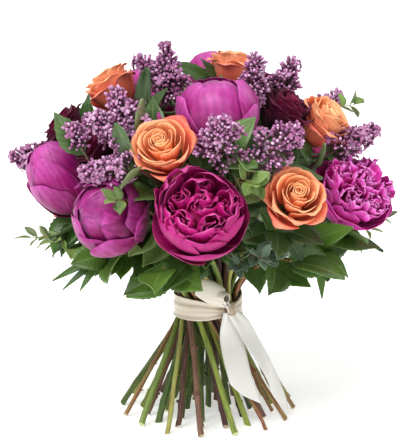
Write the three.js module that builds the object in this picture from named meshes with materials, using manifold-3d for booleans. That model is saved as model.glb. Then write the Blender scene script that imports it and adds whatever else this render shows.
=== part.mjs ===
// Hand-tied lilac bouquet: peonies, roses, lilac and greenery bound as a spiral and finished with a bow.
//
// Every flower keeps its own cut stem. All stems lean the same way round, cross at the tie and flare
// out again below it, so the bunch stands by itself on its cut ends. Lengths are millimetres and +Z is
// up. The front, where the bow is, faces -Y. The origin is the middle of the floor under the bouquet.

import * as THREE from "three";
import { mergeVertices } from "three/addons/utils/BufferGeometryUtils.js";
import Module from "manifold-3d";

const wasm = await Module();
wasm.setup();

// ---------------------------------------------------------------- driving dimensions

const TIE_HEIGHT = 112; // the binding point above the cut ends
const DOME_HEIGHT = 190; // the middle of the dome of flowers
const RING_STEP = 6.8; // from one ring of stems to the next, at the tie
const RING_SIZES = [1, 6, 12, 17, 99]; // how many stems each ring holds, from the middle out
const TWIST = 2.43; // sideways lean of the stems, in tie radii per tie height
const FLARE = 1.35; // outward lean of the stems, in the same measure
const FLARE_EASE = 0.12; // how softly the flare starts on each side of the tie
const GAP = 0.35; // air kept between touching pieces
const CUT_BELOW = 6; // spare length of stem that the flat base cut takes off

// The heights at which a stem is stepped inside the bundle. Above the last it bends to its own flower.
const BUNDLE_LEVELS = [-CUT_BELOW, TIE_HEIGHT - 16, TIE_HEIGHT, TIE_HEIGHT + 18];
const BEND_STEPS = 4;
const STEM_SIDES = 5;

// ---------------------------------------------------------------- materials

const material = (color, roughness) => new THREE.MeshStandardMaterial({ color, roughness, metalness: 0 });
const materials = {
  peony: material(0xb3238f, 0.6),
  orange: material(0xf08a4b, 0.6),
  red: material(0x4a0a1c, 0.65),
  lilac: material(0x8a5a8f, 0.7),
  leaf: material(0x2f5a2a, 0.55),
  ribbon: material(0xf1ebdf, 0.45),
  twine: material(0x9a8158, 0.9),
};

// ---------------------------------------------------------------- the flowers and greenery

// Bearing: degrees round the dome from the front, positive towards +X. Climb: degrees up from level,
// seen from the middle of the dome. Reach: from there to the middle of the flower. Size: its radius.
// Points: the bearing and climb that the flower faces, where it doesn't face straight outwards. Twin:
// the same for the second of a pair of lilac panicles on one stem.
const cutStems = [
  { name: "peony_open_front", kind: "openPeony", bearing: -3, climb: 20, reach: 142, size: 47, points: [1, 44] },
  { name: "peony_bud_front_left", kind: "peonyBud", bearing: -43, climb: 16, reach: 145, size: 37 },
  { name: "peony_bud_left", kind: "peonyBud", bearing: -90, climb: 20, reach: 157, size: 35, points: [-84, 58] },
  { name: "peony_bud_crown", kind: "peonyBud", bearing: 9, climb: 69, reach: 136, size: 38, points: [11, 80] },
  { name: "peony_ruffled_right", kind: "ruffledPeony", bearing: 86, climb: 15, reach: 150, size: 42, points: [40, 44] },
  { name: "peony_bud_crown_back", kind: "peonyBud", bearing: 176, climb: 60, reach: 152, size: 34 },
  { name: "peony_bud_left_back", kind: "peonyBud", bearing: -138, climb: 50, reach: 150, size: 34 },
  { name: "peony_ruffled_back", kind: "ruffledPeony", bearing: 169, climb: 14, reach: 150, size: 42 },
  { name: "peony_bud_back_left", kind: "peonyBud", bearing: -139, climb: 10, reach: 152, size: 38 },
  { name: "peony_open_back_right", kind: "openPeony", bearing: 138, climb: 12, reach: 152, size: 38 },

  { name: "rose_orange_front", kind: "orangeRose", bearing: -22, climb: 43, reach: 154, size: 33, points: [-16, 44] },
  { name: "rose_orange_front_right", kind: "orangeRose", bearing: 36, climb: 23, reach: 152, size: 32, points: [12, 42] },
  { name: "rose_orange_right", kind: "orangeRose", bearing: 95, climb: 43, reach: 155, size: 33, points: [72, 44] },
  { name: "rose_orange_left", kind: "orangeRose", bearing: -105, climb: 54, reach: 170, size: 30 },
  { name: "rose_orange_crown", kind: "orangeRose", bearing: 139, climb: 76, reach: 161, size: 29 },
  { name: "rose_orange_back", kind: "orangeRose", bearing: 147, climb: 38, reach: 158, size: 29 },
  { name: "rose_orange_back_left", kind: "orangeRose", bearing: -165, climb: 38, reach: 158, size: 29 },
  { name: "rose_orange_left_low", kind: "orangeRose", bearing: -114, climb: 6, reach: 158, size: 27 },
  { name: "rose_red_far_left", kind: "redRose", bearing: -96, climb: 35, reach: 172, size: 28 },
  { name: "rose_red_left", kind: "redRose", bearing: -75, climb: 38, reach: 142, size: 25 },
  { name: "rose_red_right", kind: "redRose", bearing: 79, climb: 58, reach: 144, size: 31 },
  { name: "rose_red_crown_right", kind: "redRose", bearing: 130, climb: 56, reach: 154, size: 25 },
  { name: "rose_red_crown_left", kind: "redRose", bearing: -80, climb: 58, reach: 142, size: 19 },
  { name: "rose_red_back_right", kind: "redRose", bearing: 113, climb: 14, reach: 158, size: 26 },
  { name: "rose_red_back_left", kind: "redRose", bearing: -164, climb: 12, reach: 158, size: 27 },

  { name: "lilac_far_left", kind: "lilac", bearing: -105, climb: 19, reach: 189, size: 15, points: [-95, 2] },
  { name: "lilac_crown_left", kind: "lilac", bearing: -76, climb: 72, reach: 160, size: 19, points: [-90, 50], twin: [-66, 80] },
  { name: "lilac_left_high", kind: "lilac", bearing: -51, climb: 46, reach: 162, size: 19, points: [-84, 20], twin: [-72, 62] },
  { name: "lilac_left", kind: "lilac", bearing: -68, climb: 36, reach: 162, size: 14, points: [-80, 66] },
  { name: "lilac_front_left", kind: "lilac", bearing: -41, climb: 31, reach: 162, size: 17, points: [-80, 0] },
  { name: "lilac_front", kind: "lilac", bearing: 5, climb: 44, reach: 166, size: 23 },
  { name: "lilac_front_right", kind: "lilac", bearing: 30, climb: 41, reach: 162, size: 22, points: [62, 42] },
  { name: "lilac_crown_right", kind: "lilac", bearing: 56, climb: 71, reach: 160, size: 18, points: [60, 82] },
  { name: "lilac_crown_back", kind: "lilac", bearing: 109, climb: 60, reach: 160, size: 18, points: [95, 72] },
  { name: "lilac_right", kind: "lilac", bearing: 90, climb: 32, reach: 165, size: 18, points: [102, 26] },
  { name: "lilac_back_right", kind: "lilac", bearing: 124, climb: 36, reach: 170, size: 20 },
  { name: "lilac_back", kind: "lilac", bearing: 171, climb: 38, reach: 168, size: 20, twin: [-172, 64] },
  { name: "lilac_back_left", kind: "lilac", bearing: -143, climb: 27, reach: 174, size: 20 },

  { name: "lemon_leaf_front", kind: "lemonLeaf", bearing: -22, climb: -6, reach: 120, size: 8 },
  { name: "lemon_leaf_front_left", kind: "lemonLeaf", bearing: -62, climb: -6, reach: 120, size: 8 },
  { name: "lemon_leaf_left", kind: "lemonLeaf", bearing: -100, climb: -6, reach: 120, size: 8 },
  { name: "lemon_leaf_back_left", kind: "lemonLeaf", bearing: -150, climb: -8, reach: 120, size: 8 },
  { name: "lemon_leaf_back", kind: "lemonLeaf", bearing: 166, climb: -8, reach: 120, size: 8 },
  { name: "lemon_leaf_back_right", kind: "lemonLeaf", bearing: 120, climb: -8, reach: 120, size: 8 },
  { name: "lemon_leaf_right", kind: "lemonLeaf", bearing: 80, climb: -6, reach: 120, size: 8 },
  { name: "lemon_leaf_front_right", kind: "lemonLeaf", bearing: 46, climb: -6, reach: 120, size: 8 },
  { name: "olive_sprig_front", kind: "sprig", bearing: 20, climb: 1, reach: 120, size: 8 },
  { name: "myrtle_sprig_left", kind: "sprig", bearing: -84, climb: -3, reach: 150, size: 8 },
  { name: "myrtle_sprig_front_left", kind: "sprig", bearing: -32, climb: 23, reach: 158, size: 8 },
  { name: "myrtle_sprig_front_right", kind: "sprig", bearing: 14, climb: 34, reach: 150, size: 8 },
  { name: "myrtle_sprig_right_high", kind: "sprig", bearing: 112, climb: 40, reach: 178, size: 8 },
  { name: "myrtle_sprig_right", kind: "sprig", bearing: 100, climb: 0, reach: 160, size: 8 },
];

// What each kind of cut stem is: stem radius, how far below the flower's middle the stem joins it (in
// flower radii), the flower's outline, and its colour. An outline runs from the stem side to the top,
// as [distance from the axis, height along it] in flower radii; lobes are its outer petals.
const kinds = {
  peonyBud: {
    stem: 3.2,
    joins: 0.85,
    color: "peony",
    lobes: 5,
    lobeDepth: 0.045,
    sides: 10,
    outline: [[0, -0.98], [0.4, -0.9], [0.82, -0.55], [1, -0.02], [0.9, 0.46], [0.55, 0.84], [0, 0.9]],
  },
  openPeony: {
    stem: 3.2,
    joins: 0.75,
    color: "peony",
    lobes: 5,
    lobeDepth: 0.06,
    sides: 15,
    outline: [[0, -0.85], [0.45, -0.8], [0.88, -0.4], [1.02, 0.12], [0.9, 0.5], [0.66, 0.42], [0.4, 0.54], [0, 0.5]],
  },
  ruffledPeony: {
    stem: 3.2,
    joins: 0.75,
    color: "peony",
    lobes: 6,
    lobeDepth: 0.05,
    sides: 12,
    outline: [[0, -0.8], [0.5, -0.76], [1, -0.4], [1.05, 0], [0.84, 0.32], [0.66, 0.72], [0, 0.92]],
  },
  orangeRose: {
    stem: 3,
    joins: 0.88,
    color: "orange",
    lobes: 5,
    lobeDepth: 0.05,
    sides: 10,
    outline: [[0, -1], [0.32, -0.92], [0.68, -0.5], [0.98, 0.2], [0.9, 0.46], [0.6, 0.4], [0.4, 0.66], [0, 0.6]],
  },
  lilac: {
    stem: 2.9,
    joins: 1.2,
    color: "lilac",
    lobes: 4,
    lobeDepth: 0.12,
    sides: 8,
    outline: [[0, -1.5], [0.5, -1.2], [0.95, -0.5], [0.85, 0.2], [0.45, 1], [0, 1.7]],
  },
  lemonLeaf: { stem: 2.3, joins: 1, color: "leaf" },
  sprig: { stem: 1.9, joins: 1, color: "leaf" },
};
kinds.redRose = { ...kinds.orangeRose, color: "red" };

// ---------------------------------------------------------------- closed solids

// A three.js geometry, with the vertices that meet made one, as a solid with its faces outwards.
function toSolid(geometry) {
  geometry.deleteAttribute("normal");
  geometry.deleteAttribute("uv");
  const merged = mergeVertices(geometry, 1e-4);
  const position = merged.attributes.position.array;
  const faces = [];
  for (let i = 0; i < merged.index.count; i += 3) {
    const [a, b, c] = merged.index.array.slice(i, i + 3);
    if (a !== b && b !== c && c !== a) faces.push(a, b, c);
  }
  if (enclosedVolume(position, faces) < 0) faces.reverse();
  const vertProperties = new Float32Array(position);
  const triVerts = new Uint32Array(faces);
  return new wasm.Manifold(new wasm.Mesh({ numProp: 3, vertProperties, triVerts }));
}

function enclosedVolume(position, faces) {
  const corner = (i) => new THREE.Vector3().fromArray(position, 3 * faces[i]);
  let six = 0;
  for (let i = 0; i < faces.length; i += 3) {
    six += corner(i).dot(corner(i + 1).cross(corner(i + 2)));
  }
  return six / 6;
}

// A solid as a mesh's geometry.
function toGeometry(solid) {
  const mesh = solid.getMesh();
  const geometry = new THREE.BufferGeometry();
  geometry.setAttribute("position", new THREE.BufferAttribute(new Float32Array(mesh.vertProperties), 3));
  geometry.setIndex(new THREE.BufferAttribute(new Uint32Array(mesh.triVerts), 1));
  geometry.computeVertexNormals();
  return geometry;
}

// Moves every vertex of a geometry to where the given function sends it.
function reshape(geometry, move) {
  const position = geometry.attributes.position;
  const point = new THREE.Vector3();
  for (let i = 0; i < position.count; i++) {
    move(point.fromBufferAttribute(position, i));
    position.setXYZ(i, point.x, point.y, point.z);
  }
  return geometry;
}

// ---------------------------------------------------------------- where the stems run

const radians = THREE.MathUtils.degToRad;

function direction(bearing, climb) {
  const turn = radians(bearing - 90);
  const level = Math.cos(radians(climb));
  return new THREE.Vector3(Math.cos(turn) * level, Math.sin(turn) * level, Math.sin(radians(climb)));
}

// Near the tie all stems share one map from the tie's level to any other: this is its scale (out) and
// its quarter-turn share (round), so no two stems cross.
function spread(z) {
  const down = (TIE_HEIGHT - z) / TIE_HEIGHT;
  const eased = Math.hypot(down, FLARE_EASE) - FLARE_EASE;
  return { out: 1 + FLARE * eased, round: TWIST * down };
}

function bundlePoint(slot, z) {
  const { out, round } = spread(z);
  return new THREE.Vector3(slot.x * out - slot.y * round, slot.y * out + slot.x * round, z);
}

function placeFlowers() {
  for (const stem of cutStems) {
    const kind = kinds[stem.kind];
    const outwards = direction(stem.bearing, stem.climb);
    stem.axis = stem.points ? direction(...stem.points) : outwards;
    stem.axes = stem.twin ? [stem.axis, direction(...stem.twin)] : [stem.axis];
    stem.middle = outwards.clone().multiplyScalar(stem.reach).add(new THREE.Vector3(0, 0, DOME_HEIGHT));
    stem.top = stem.middle.clone().addScaledVector(stem.axis, -kind.joins * stem.size);
  }
}

// Gives every stem its slot at the tie: the flowers nearest the crown take the inner rings, and round
// each ring the slots follow the bearings that the spiral sends the flowers to.
function fillSlots() {
  for (const stem of cutStems) {
    const { out, round } = spread(stem.top.z);
    stem.distance = Math.hypot(stem.top.x, stem.top.y) / Math.hypot(out, round);
    stem.wanted = Math.atan2(stem.top.y, stem.top.x) - Math.atan2(round, out);
    if (stem.wanted < 0) stem.wanted += 2 * Math.PI;
  }
  const byDistance = [...cutStems].sort((a, b) => a.distance - b.distance);
  RING_SIZES.forEach((size, ring) => {
    const inRing = byDistance.splice(0, size).sort((a, b) => a.wanted - b.wanted);
    const share = (2 * Math.PI) / inRing.length;
    let sine = 0;
    let cosine = 0;
    inRing.forEach((stem, i) => {
      sine += Math.sin(stem.wanted - i * share);
      cosine += Math.cos(stem.wanted - i * share);
    });
    const start = Math.atan2(sine, cosine);
    inRing.forEach((stem, i) => {
      const angle = start + i * share;
      const radius = ring * RING_STEP;
      stem.slot = new THREE.Vector2(radius * Math.cos(angle), radius * Math.sin(angle));
    });
  });
}

// One stem from its cut end, through the bundle, and in a last easy bend up to its flower. Its own
// parameter sets the steps of a sweep along it: few below the tie, where it is straight.
class StemCurve extends THREE.Curve {
  constructor(stem) {
    super();
    this.slot = stem.slot;
    const bendFrom = BUNDLE_LEVELS.at(-1);
    const start = bundlePoint(stem.slot, bendFrom);
    const heading = start.clone().sub(bundlePoint(stem.slot, bendFrom - 1)).normalize();
    const length = start.distanceTo(stem.top);
    const easeOut = start.clone().addScaledVector(heading, 0.35 * length);
    const easeIn = stem.top.clone().addScaledVector(stem.axis, -0.22 * length);
    this.bend = new THREE.CubicBezierCurve3(start, easeOut, easeIn, stem.top);
  }

  getUtoTmapping(share) {
    return share;
  }

  getPoint(t, target = new THREE.Vector3()) {
    const steps = BUNDLE_LEVELS.length - 1;
    const step = t * (steps + BEND_STEPS);
    if (step >= steps) return this.bend.getPoint((step - steps) / BEND_STEPS, target);
    const below = Math.floor(step);
    const z = THREE.MathUtils.lerp(BUNDLE_LEVELS[below], BUNDLE_LEVELS[below + 1], step - below);
    return target.copy(bundlePoint(this.slot, z));
  }

  // The point at a share of the way from the tie to the flower.
  aboveTie(share) {
    return this.bend.getPoint(share);
  }
}

// ---------------------------------------------------------------- stems, flowers and leaves

function stemSolid(stem, grow) {
  const radius = kinds[stem.kind].stem + grow;
  const section = new THREE.Shape();
  for (let i = 0; i < STEM_SIDES; i++) {
    const angle = (2 * Math.PI * i) / STEM_SIDES;
    section.lineTo(radius * Math.cos(angle), radius * Math.sin(angle));
  }
  const steps = BUNDLE_LEVELS.length - 1 + BEND_STEPS;
  const options = { steps, bevelEnabled: false, extrudePath: stem.curve };
  return toSolid(new THREE.ExtrudeGeometry(section, options));
}

// A flower stands on the end of its stem, along the given axis. It is turned from its outline, with the
// edges of its outer petals as shallow, twisted lobes.
function flowerSolid(stem, axis, grow) {
  const { outline, sides, lobes, lobeDepth, joins } = kinds[stem.kind];
  const size = stem.size + grow;
  const profile = outline.map(([out, up]) => new THREE.Vector2(out * size, up * size));
  const geometry = new THREE.LatheGeometry(profile, sides);
  reshape(geometry, (point) => {
    const around = Math.atan2(point.x, point.z);
    const lobe = 1 + lobeDepth * Math.cos(lobes * around + (2 * point.y) / size);
    point.x *= lobe;
    point.z *= lobe;
  });
  geometry.applyQuaternion(new THREE.Quaternion().setFromUnitVectors(new THREE.Vector3(0, 1, 0), axis));
  const middle = stem.top.clone().addScaledVector(axis, joins * stem.size);
  geometry.translate(middle.x, middle.y, middle.z);
  return toSolid(geometry);
}

// A leaf from its stalk's root, pointing along `ahead`, with its face towards `face`. It is a thin
// blade, folded up a little along its midrib, that droops towards the tip.
function leafSolid({ root, ahead, face, length, width, droop, across, along }, grow) {
  const thickness = 1.2 + 2 * grow;
  const stalk = 0.16;
  const geometry = new THREE.BoxGeometry(1, 1, thickness, across, along, 1);
  const side = new THREE.Vector3().crossVectors(ahead, face).normalize();
  const up = new THREE.Vector3().crossVectors(side, ahead).normalize();
  reshape(geometry, (point) => {
    const run = point.y + 0.5;
    const blade = Math.max(0, (run - stalk) / (1 - stalk));
    const half = 0.9 + 0.5 * width * Math.sin(Math.PI * Math.pow(blade, 0.8)) + grow;
    const sideways = 2 * point.x * half;
    const lift = 0.25 * Math.abs(sideways) - droop * length * run * run + point.z;
    const forward = run * (length + grow);
    point.copy(root).addScaledVector(ahead, forward).addScaledVector(side, sideways);
    point.addScaledVector(up, lift);
  });
  return toSolid(geometry);
}

const UP = new THREE.Vector3(0, 0, 1);

// A leaf growing from a stem at the given share of the way from the tie to the flower, turned sideways
// from the outward direction and climbing or hanging by the given angles.
function leafOnStem(stem, { at, turn, climb, length, width, droop = 0.12, small = false }) {
  const root = stem.curve.aboveTie(at);
  const bearing = 90 + THREE.MathUtils.radToDeg(Math.atan2(root.y, root.x)) + turn;
  const ahead = direction(bearing, climb);
  const face = UP.clone().addScaledVector(direction(bearing, 0), 0.35).normalize();
  const detail = small ? { across: 1, along: 2 } : { across: 2, along: 3 };
  return { root, ahead, face, length, width, droop, ...detail };
}

// The broad leaves of a lemon leaf branch: they leave the stem by turns and hang further out the lower
// they sit, so that together they make the skirt under the flowers.
const lemonLeaves = [
  { at: 0.99, turn: 8, climb: 2, length: 62, width: 36 },
  { at: 0.84, turn: 48, climb: -6, length: 58, width: 34 },
  { at: 0.72, turn: -44, climb: -14, length: 60, width: 36 },
  { at: 0.5, turn: 6, climb: -26, length: 56, width: 32 },
];
const sprigLeaves = [
  { at: 0.99, turn: 0, climb: 20, length: 30, width: 10, small: true },
  { at: 0.92, turn: 55, climb: 10, length: 28, width: 10, small: true },
  { at: 0.84, turn: -55, climb: -5, length: 28, width: 10, small: true },
];
const lilacLeaves = [{ at: 0.8, turn: 60, climb: 30, length: 50, width: 30 }];
const leavesOf = { lemonLeaf: lemonLeaves, sprig: sprigLeaves, lilac: lilacLeaves };

// ---------------------------------------------------------------- the binding

const OUTER_RING = RING_STEP * (RING_SIZES.length - 1);
const STEM_REACH = 3.2;
const BINDING_SIDES = 16; // of the rings round the bundle
const TWINE_TURNS = 2;
const TWINE_THICKNESS = 1.3;
const RIBBON_WIDTH = 27;
const RIBBON_THICKNESS = 1.1;
const RIBBON_MIDDLE = 111.5; // height of the middle of the ribbon round the bundle

// The outside of the bundle of stems at a height.
function bundleRadius(z) {
  const { out, round } = spread(z);
  return OUTER_RING * Math.hypot(out, round) + STEM_REACH;
}

// A ring turned about the upright axis, standing on its end.
function ringSolid(profile) {
  const geometry = new THREE.LatheGeometry([...profile, profile[0]], BINDING_SIDES);
  const flats = 1 / Math.cos(Math.PI / BINDING_SIDES);
  geometry.scale(flats, 1, flats);
  geometry.rotateX(Math.PI / 2);
  return toSolid(geometry);
}

function twineSolid(grow) {
  const inside = bundleRadius(TIE_HEIGHT) + 0.6 - grow;
  const step = 2 * TWINE_THICKNESS;
  const low = TIE_HEIGHT - (step * TWINE_TURNS) / 2;
  const profile = [new THREE.Vector2(inside, low - grow)];
  for (let turn = 0; turn < TWINE_TURNS; turn++) {
    profile.push(new THREE.Vector2(inside + TWINE_THICKNESS / 2 + grow, low + turn * step));
    profile.push(new THREE.Vector2(inside + TWINE_THICKNESS + 2 * grow, low + (turn + 0.5) * step));
  }
  profile.push(new THREE.Vector2(inside + TWINE_THICKNESS / 2 + grow, low + TWINE_TURNS * step));
  profile.push(new THREE.Vector2(inside, low + TWINE_TURNS * step + grow));
  return ringSolid(profile);
}

function bandSolid(grow) {
  const inner = [];
  const outer = [];
  for (const share of [-0.5, 0, 0.5]) {
    const z = RIBBON_MIDDLE + share * RIBBON_WIDTH;
    const clear = Math.max(bundleRadius(z) + 0.9, bundleRadius(TIE_HEIGHT) + TWINE_THICKNESS + 1.1);
    inner.push(new THREE.Vector2(clear - grow, z + Math.sign(share) * grow));
    outer.unshift(new THREE.Vector2(clear + RIBBON_THICKNESS + grow, z + Math.sign(share) * grow));
  }
  return ringSolid([...inner, ...outer]);
}

// A strip of ribbon that follows the given points, with the sideways direction given at each of them.
function stripSolid(stations, width, thickness, grow) {
  const steps = stations.length - 1;
  const geometry = new THREE.BoxGeometry(1, 1, 1, 2, steps, 1);
  reshape(geometry, (point) => {
    const station = Math.round((point.y + 0.5) * steps);
    const { at, side } = stations[station];
    const before = stations[Math.max(0, station - 1)].at;
    const after = stations[Math.min(steps, station + 1)].at;
    const ahead = after.clone().sub(before).normalize();
    const out = new THREE.Vector3().crossVectors(side, ahead).normalize();
    const sideways = point.x * (width + 2 * grow);
    const proud = point.z * (thickness + 2 * grow);
    const over = station === 0 ? -grow : station === steps ? grow : 0;
    point.copy(at).addScaledVector(side, sideways).addScaledVector(out, proud);
    point.addScaledVector(ahead, over);
  });
  return toSolid(geometry);
}

const KNOT_BEARING = 32; // where the bow is tied, round the bundle
const KNOT = { radius: 41.5, height: 116, across: 5, deep: 7, tall: 7.5 };
const LOOP_SMALL_WIDTH = 18;

function polar(bearing, radius, z) {
  return direction(bearing, 0).multiplyScalar(radius).setZ(z);
}

// The tails lie on the flaring stems, so their distance from the axis follows the bundle, and one of
// them swings clear of it half way down.
function tailStations(bearings, heights, twists, swing = 0) {
  return heights.map((z, i) => {
    const clear = swing * Math.sin((Math.PI * i) / (heights.length - 1));
    const radius = Math.max(KNOT.radius, bundleRadius(z) + 4) + clear;
    const at = polar(bearings[i], radius, z);
    const side = direction(bearings[i] + 90 + twists[i], 0);
    side.z = -0.12;
    return { at, side: side.normalize() };
  });
}

const tails = {
  front: tailStations([31, 32, 31, 30, 31], [115, 95, 75, 55, 34], [0, -4, -6, -4, 0]),
  side: tailStations([33, 48, 58, 60, 60], [115, 96, 68, 42, 20], [0, 0, 4, 4, 6], 8),
};

// A loop of the bow leaves the knot, goes round and comes back to it. Its sides face along the bearing
// that it is turned to, tipped down by its dip. Tall is its height and deep how far it stands open.
function loopStations({ bearing, radius, height, turned, dip, tall, deep }) {
  const middle = polar(bearing, radius, height);
  const side = direction(turned, -dip);
  const rise = UP.clone().addScaledVector(side, -side.dot(UP)).normalize();
  const outwards = new THREE.Vector3().crossVectors(side, rise);
  const stations = [];
  for (let i = 0; i <= LOOP_STEPS; i++) {
    const angle = radians(THREE.MathUtils.lerp(-70, 250, i / LOOP_STEPS));
    const at = middle.clone().addScaledVector(rise, (tall / 2) * Math.sin(angle));
    stations.push({ at: at.addScaledVector(outwards, (deep / 2) * Math.cos(angle)), side });
  }
  const knot = polar(KNOT_BEARING, KNOT.radius, KNOT.height);
  stations.unshift({ at: knot.clone().addScaledVector(outwards, 2), side });
  stations.push({ at: knot.addScaledVector(outwards, -1), side });
  return stations;
}

const LOOP_STEPS = 6;
const loops = {
  tall: loopStations({ bearing: 2, radius: 48, height: 136, turned: 74, dip: 15, tall: 22, deep: 13 }),
  small: loopStations({ bearing: 14, radius: 52, height: 134, turned: 38, dip: 0, tall: 16, deep: 13 }),
};

function knotSolid(grow) {
  const geometry = new THREE.SphereGeometry(1, 8, 6);
  geometry.scale(KNOT.across + grow, KNOT.deep + grow, KNOT.tall + grow);
  geometry.rotateZ(radians(KNOT_BEARING));
  const middle = polar(KNOT_BEARING, KNOT.radius, KNOT.height);
  geometry.translate(middle.x, middle.y, middle.z);
  return toSolid(geometry);
}

function bowSolid(grow) {
  return knotSolid(grow)
    .add(stripSolid(tails.front, RIBBON_WIDTH, RIBBON_THICKNESS, grow))
    .add(stripSolid(tails.side, RIBBON_WIDTH, RIBBON_THICKNESS, grow))
    .add(stripSolid(loops.tall, RIBBON_WIDTH, RIBBON_THICKNESS, grow))
    .add(stripSolid(loops.small, LOOP_SMALL_WIDTH, RIBBON_THICKNESS, grow));
}

// ---------------------------------------------------------------- fitting the pieces together

// Every piece of every node, in the order in which they keep their shape: a later piece gives way to
// an earlier one of another node wherever the two would meet.
function listPieces() {
  const pieces = [];
  const piece = (node, build) => pieces.push({ node, build, grown: undefined });
  for (const stem of cutStems) piece(stem.name, (grow) => stemSolid(stem, grow));
  piece("binding_twine", twineSolid);
  piece("ribbon_band", bandSolid);
  piece("ribbon_bow", bowSolid);
  for (const stem of cutStems) {
    if (!kinds[stem.kind].outline) continue;
    for (const axis of stem.axes) piece(stem.name, (grow) => flowerSolid(stem, axis, grow));
  }
  for (const stem of cutStems) {
    for (const leaf of leavesOf[stem.kind] ?? []) {
      const shape = leafOnStem(stem, leaf);
      piece(stem.name, (grow) => leafSolid(shape, grow));
    }
  }
  return pieces;
}

function apart(a, b) {
  return [0, 1, 2].some((i) => a.min[i] > b.max[i] || b.min[i] > a.max[i]);
}

const FLOOR_SIZE = 600;

function floorSolid() {
  const block = new THREE.BoxGeometry(FLOOR_SIZE, FLOOR_SIZE, FLOOR_SIZE);
  block.translate(0, 0, -FLOOR_SIZE / 2);
  return toSolid(block);
}

function largestPart(solid) {
  const parts = solid.decompose();
  return parts.reduce((best, part) => (part.volume() > best.volume() ? part : best));
}

function fitNodes() {
  const floor = floorSolid();
  const pieces = listPieces();
  const nodes = new Map();
  pieces.forEach((piece, index) => {
    let solid = piece.build(0);
    piece.grown = piece.build(GAP);
    piece.box = piece.grown.boundingBox();
    for (const earlier of pieces.slice(0, index)) {
      if (earlier.node === piece.node || apart(earlier.box, piece.box)) continue;
      solid = solid.subtract(earlier.grown);
    }
    solid = solid.subtract(floor);
    const whole = nodes.get(piece.node);
    nodes.set(piece.node, whole ? whole.add(solid) : solid);
  });
  return nodes;
}

// ---------------------------------------------------------------- the bouquet

placeFlowers();
fillSlots();
for (const stem of cutStems) stem.curve = new StemCurve(stem);

const colorOf = { binding_twine: "twine", ribbon_band: "ribbon", ribbon_bow: "ribbon" };
for (const stem of cutStems) colorOf[stem.name] = kinds[stem.kind].color;

const bouquet = new THREE.Group();
bouquet.name = "lilac_bouquet";
for (const [name, solid] of fitNodes()) {
  const mesh = new THREE.Mesh(toGeometry(largestPart(solid)), materials[colorOf[name]]);
  mesh.name = name;
  bouquet.add(mesh);
}

// Stands the bouquet with the middle of its outline on the origin.
const extent = new THREE.Box3().setFromObject(bouquet);
bouquet.position.set(-(extent.min.x + extent.max.x) / 2, -(extent.min.y + extent.max.y) / 2, 0);

export default bouquet;
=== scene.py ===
"""Looks of the hand-tied lilac bouquet: petals, florets, leaves, stems, twine and satin ribbon.

Shapes are worked out in millimetres round the bouquet's own upright axis, through the middle of the
binding twine in the CAD model, and put into Blender in metres. Bearings are degrees round that axis
from the front (-Y), positive towards +X. Climbs are degrees up from level, seen from the middle of the
dome of flowers.
"""

import math

import bpy
import numpy as np
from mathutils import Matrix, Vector


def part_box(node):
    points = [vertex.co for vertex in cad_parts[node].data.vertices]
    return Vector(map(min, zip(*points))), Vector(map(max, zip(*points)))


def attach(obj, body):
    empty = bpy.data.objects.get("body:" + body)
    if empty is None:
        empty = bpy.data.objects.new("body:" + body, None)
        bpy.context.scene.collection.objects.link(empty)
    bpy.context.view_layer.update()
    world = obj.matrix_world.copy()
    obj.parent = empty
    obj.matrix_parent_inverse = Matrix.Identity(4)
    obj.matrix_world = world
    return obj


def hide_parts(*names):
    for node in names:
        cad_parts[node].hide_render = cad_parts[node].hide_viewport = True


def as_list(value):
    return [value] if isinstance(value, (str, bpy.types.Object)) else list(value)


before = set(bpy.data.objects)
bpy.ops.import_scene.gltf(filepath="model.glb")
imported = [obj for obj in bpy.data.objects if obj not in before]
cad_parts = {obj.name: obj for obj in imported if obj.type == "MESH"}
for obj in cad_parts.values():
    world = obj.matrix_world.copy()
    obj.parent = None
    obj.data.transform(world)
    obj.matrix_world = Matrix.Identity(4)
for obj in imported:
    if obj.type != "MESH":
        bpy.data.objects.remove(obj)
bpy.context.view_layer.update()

# ---------------------------------------------------------------- driving dimensions, in millimetres

TIE_HEIGHT = 112.0
DOME_HEIGHT = 190.0
RING_STEP = 6.8
# Places in the rings of stems at the tie, from the middle out. The last ring takes all the rest.
RING_SIZES = (1, 6, 12, 17, 99)
TWIST = 2.43
FLARE = 1.35
FLARE_EASE = 0.12
BEND_FROM = TIE_HEIGHT + 18
PATH_STEP = 4.2
PETAL_THICKNESS = 0.42
LEAF_THICKNESS = 0.5
METRES = 0.001
UP = np.array([0.0, 0.0, 1.0])
GOLDEN = math.radians(137.508)
FULL_TURN = 2 * math.pi
# The far end of random turns.
ANY_TURN = 6.28

twine_low, twine_high = (np.array(corner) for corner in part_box("binding_twine"))
AXIS = np.array([*(twine_low + twine_high)[:2] / 2, 0.0])

# ---------------------------------------------------------------- the cut stems, as in the CAD model

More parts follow.
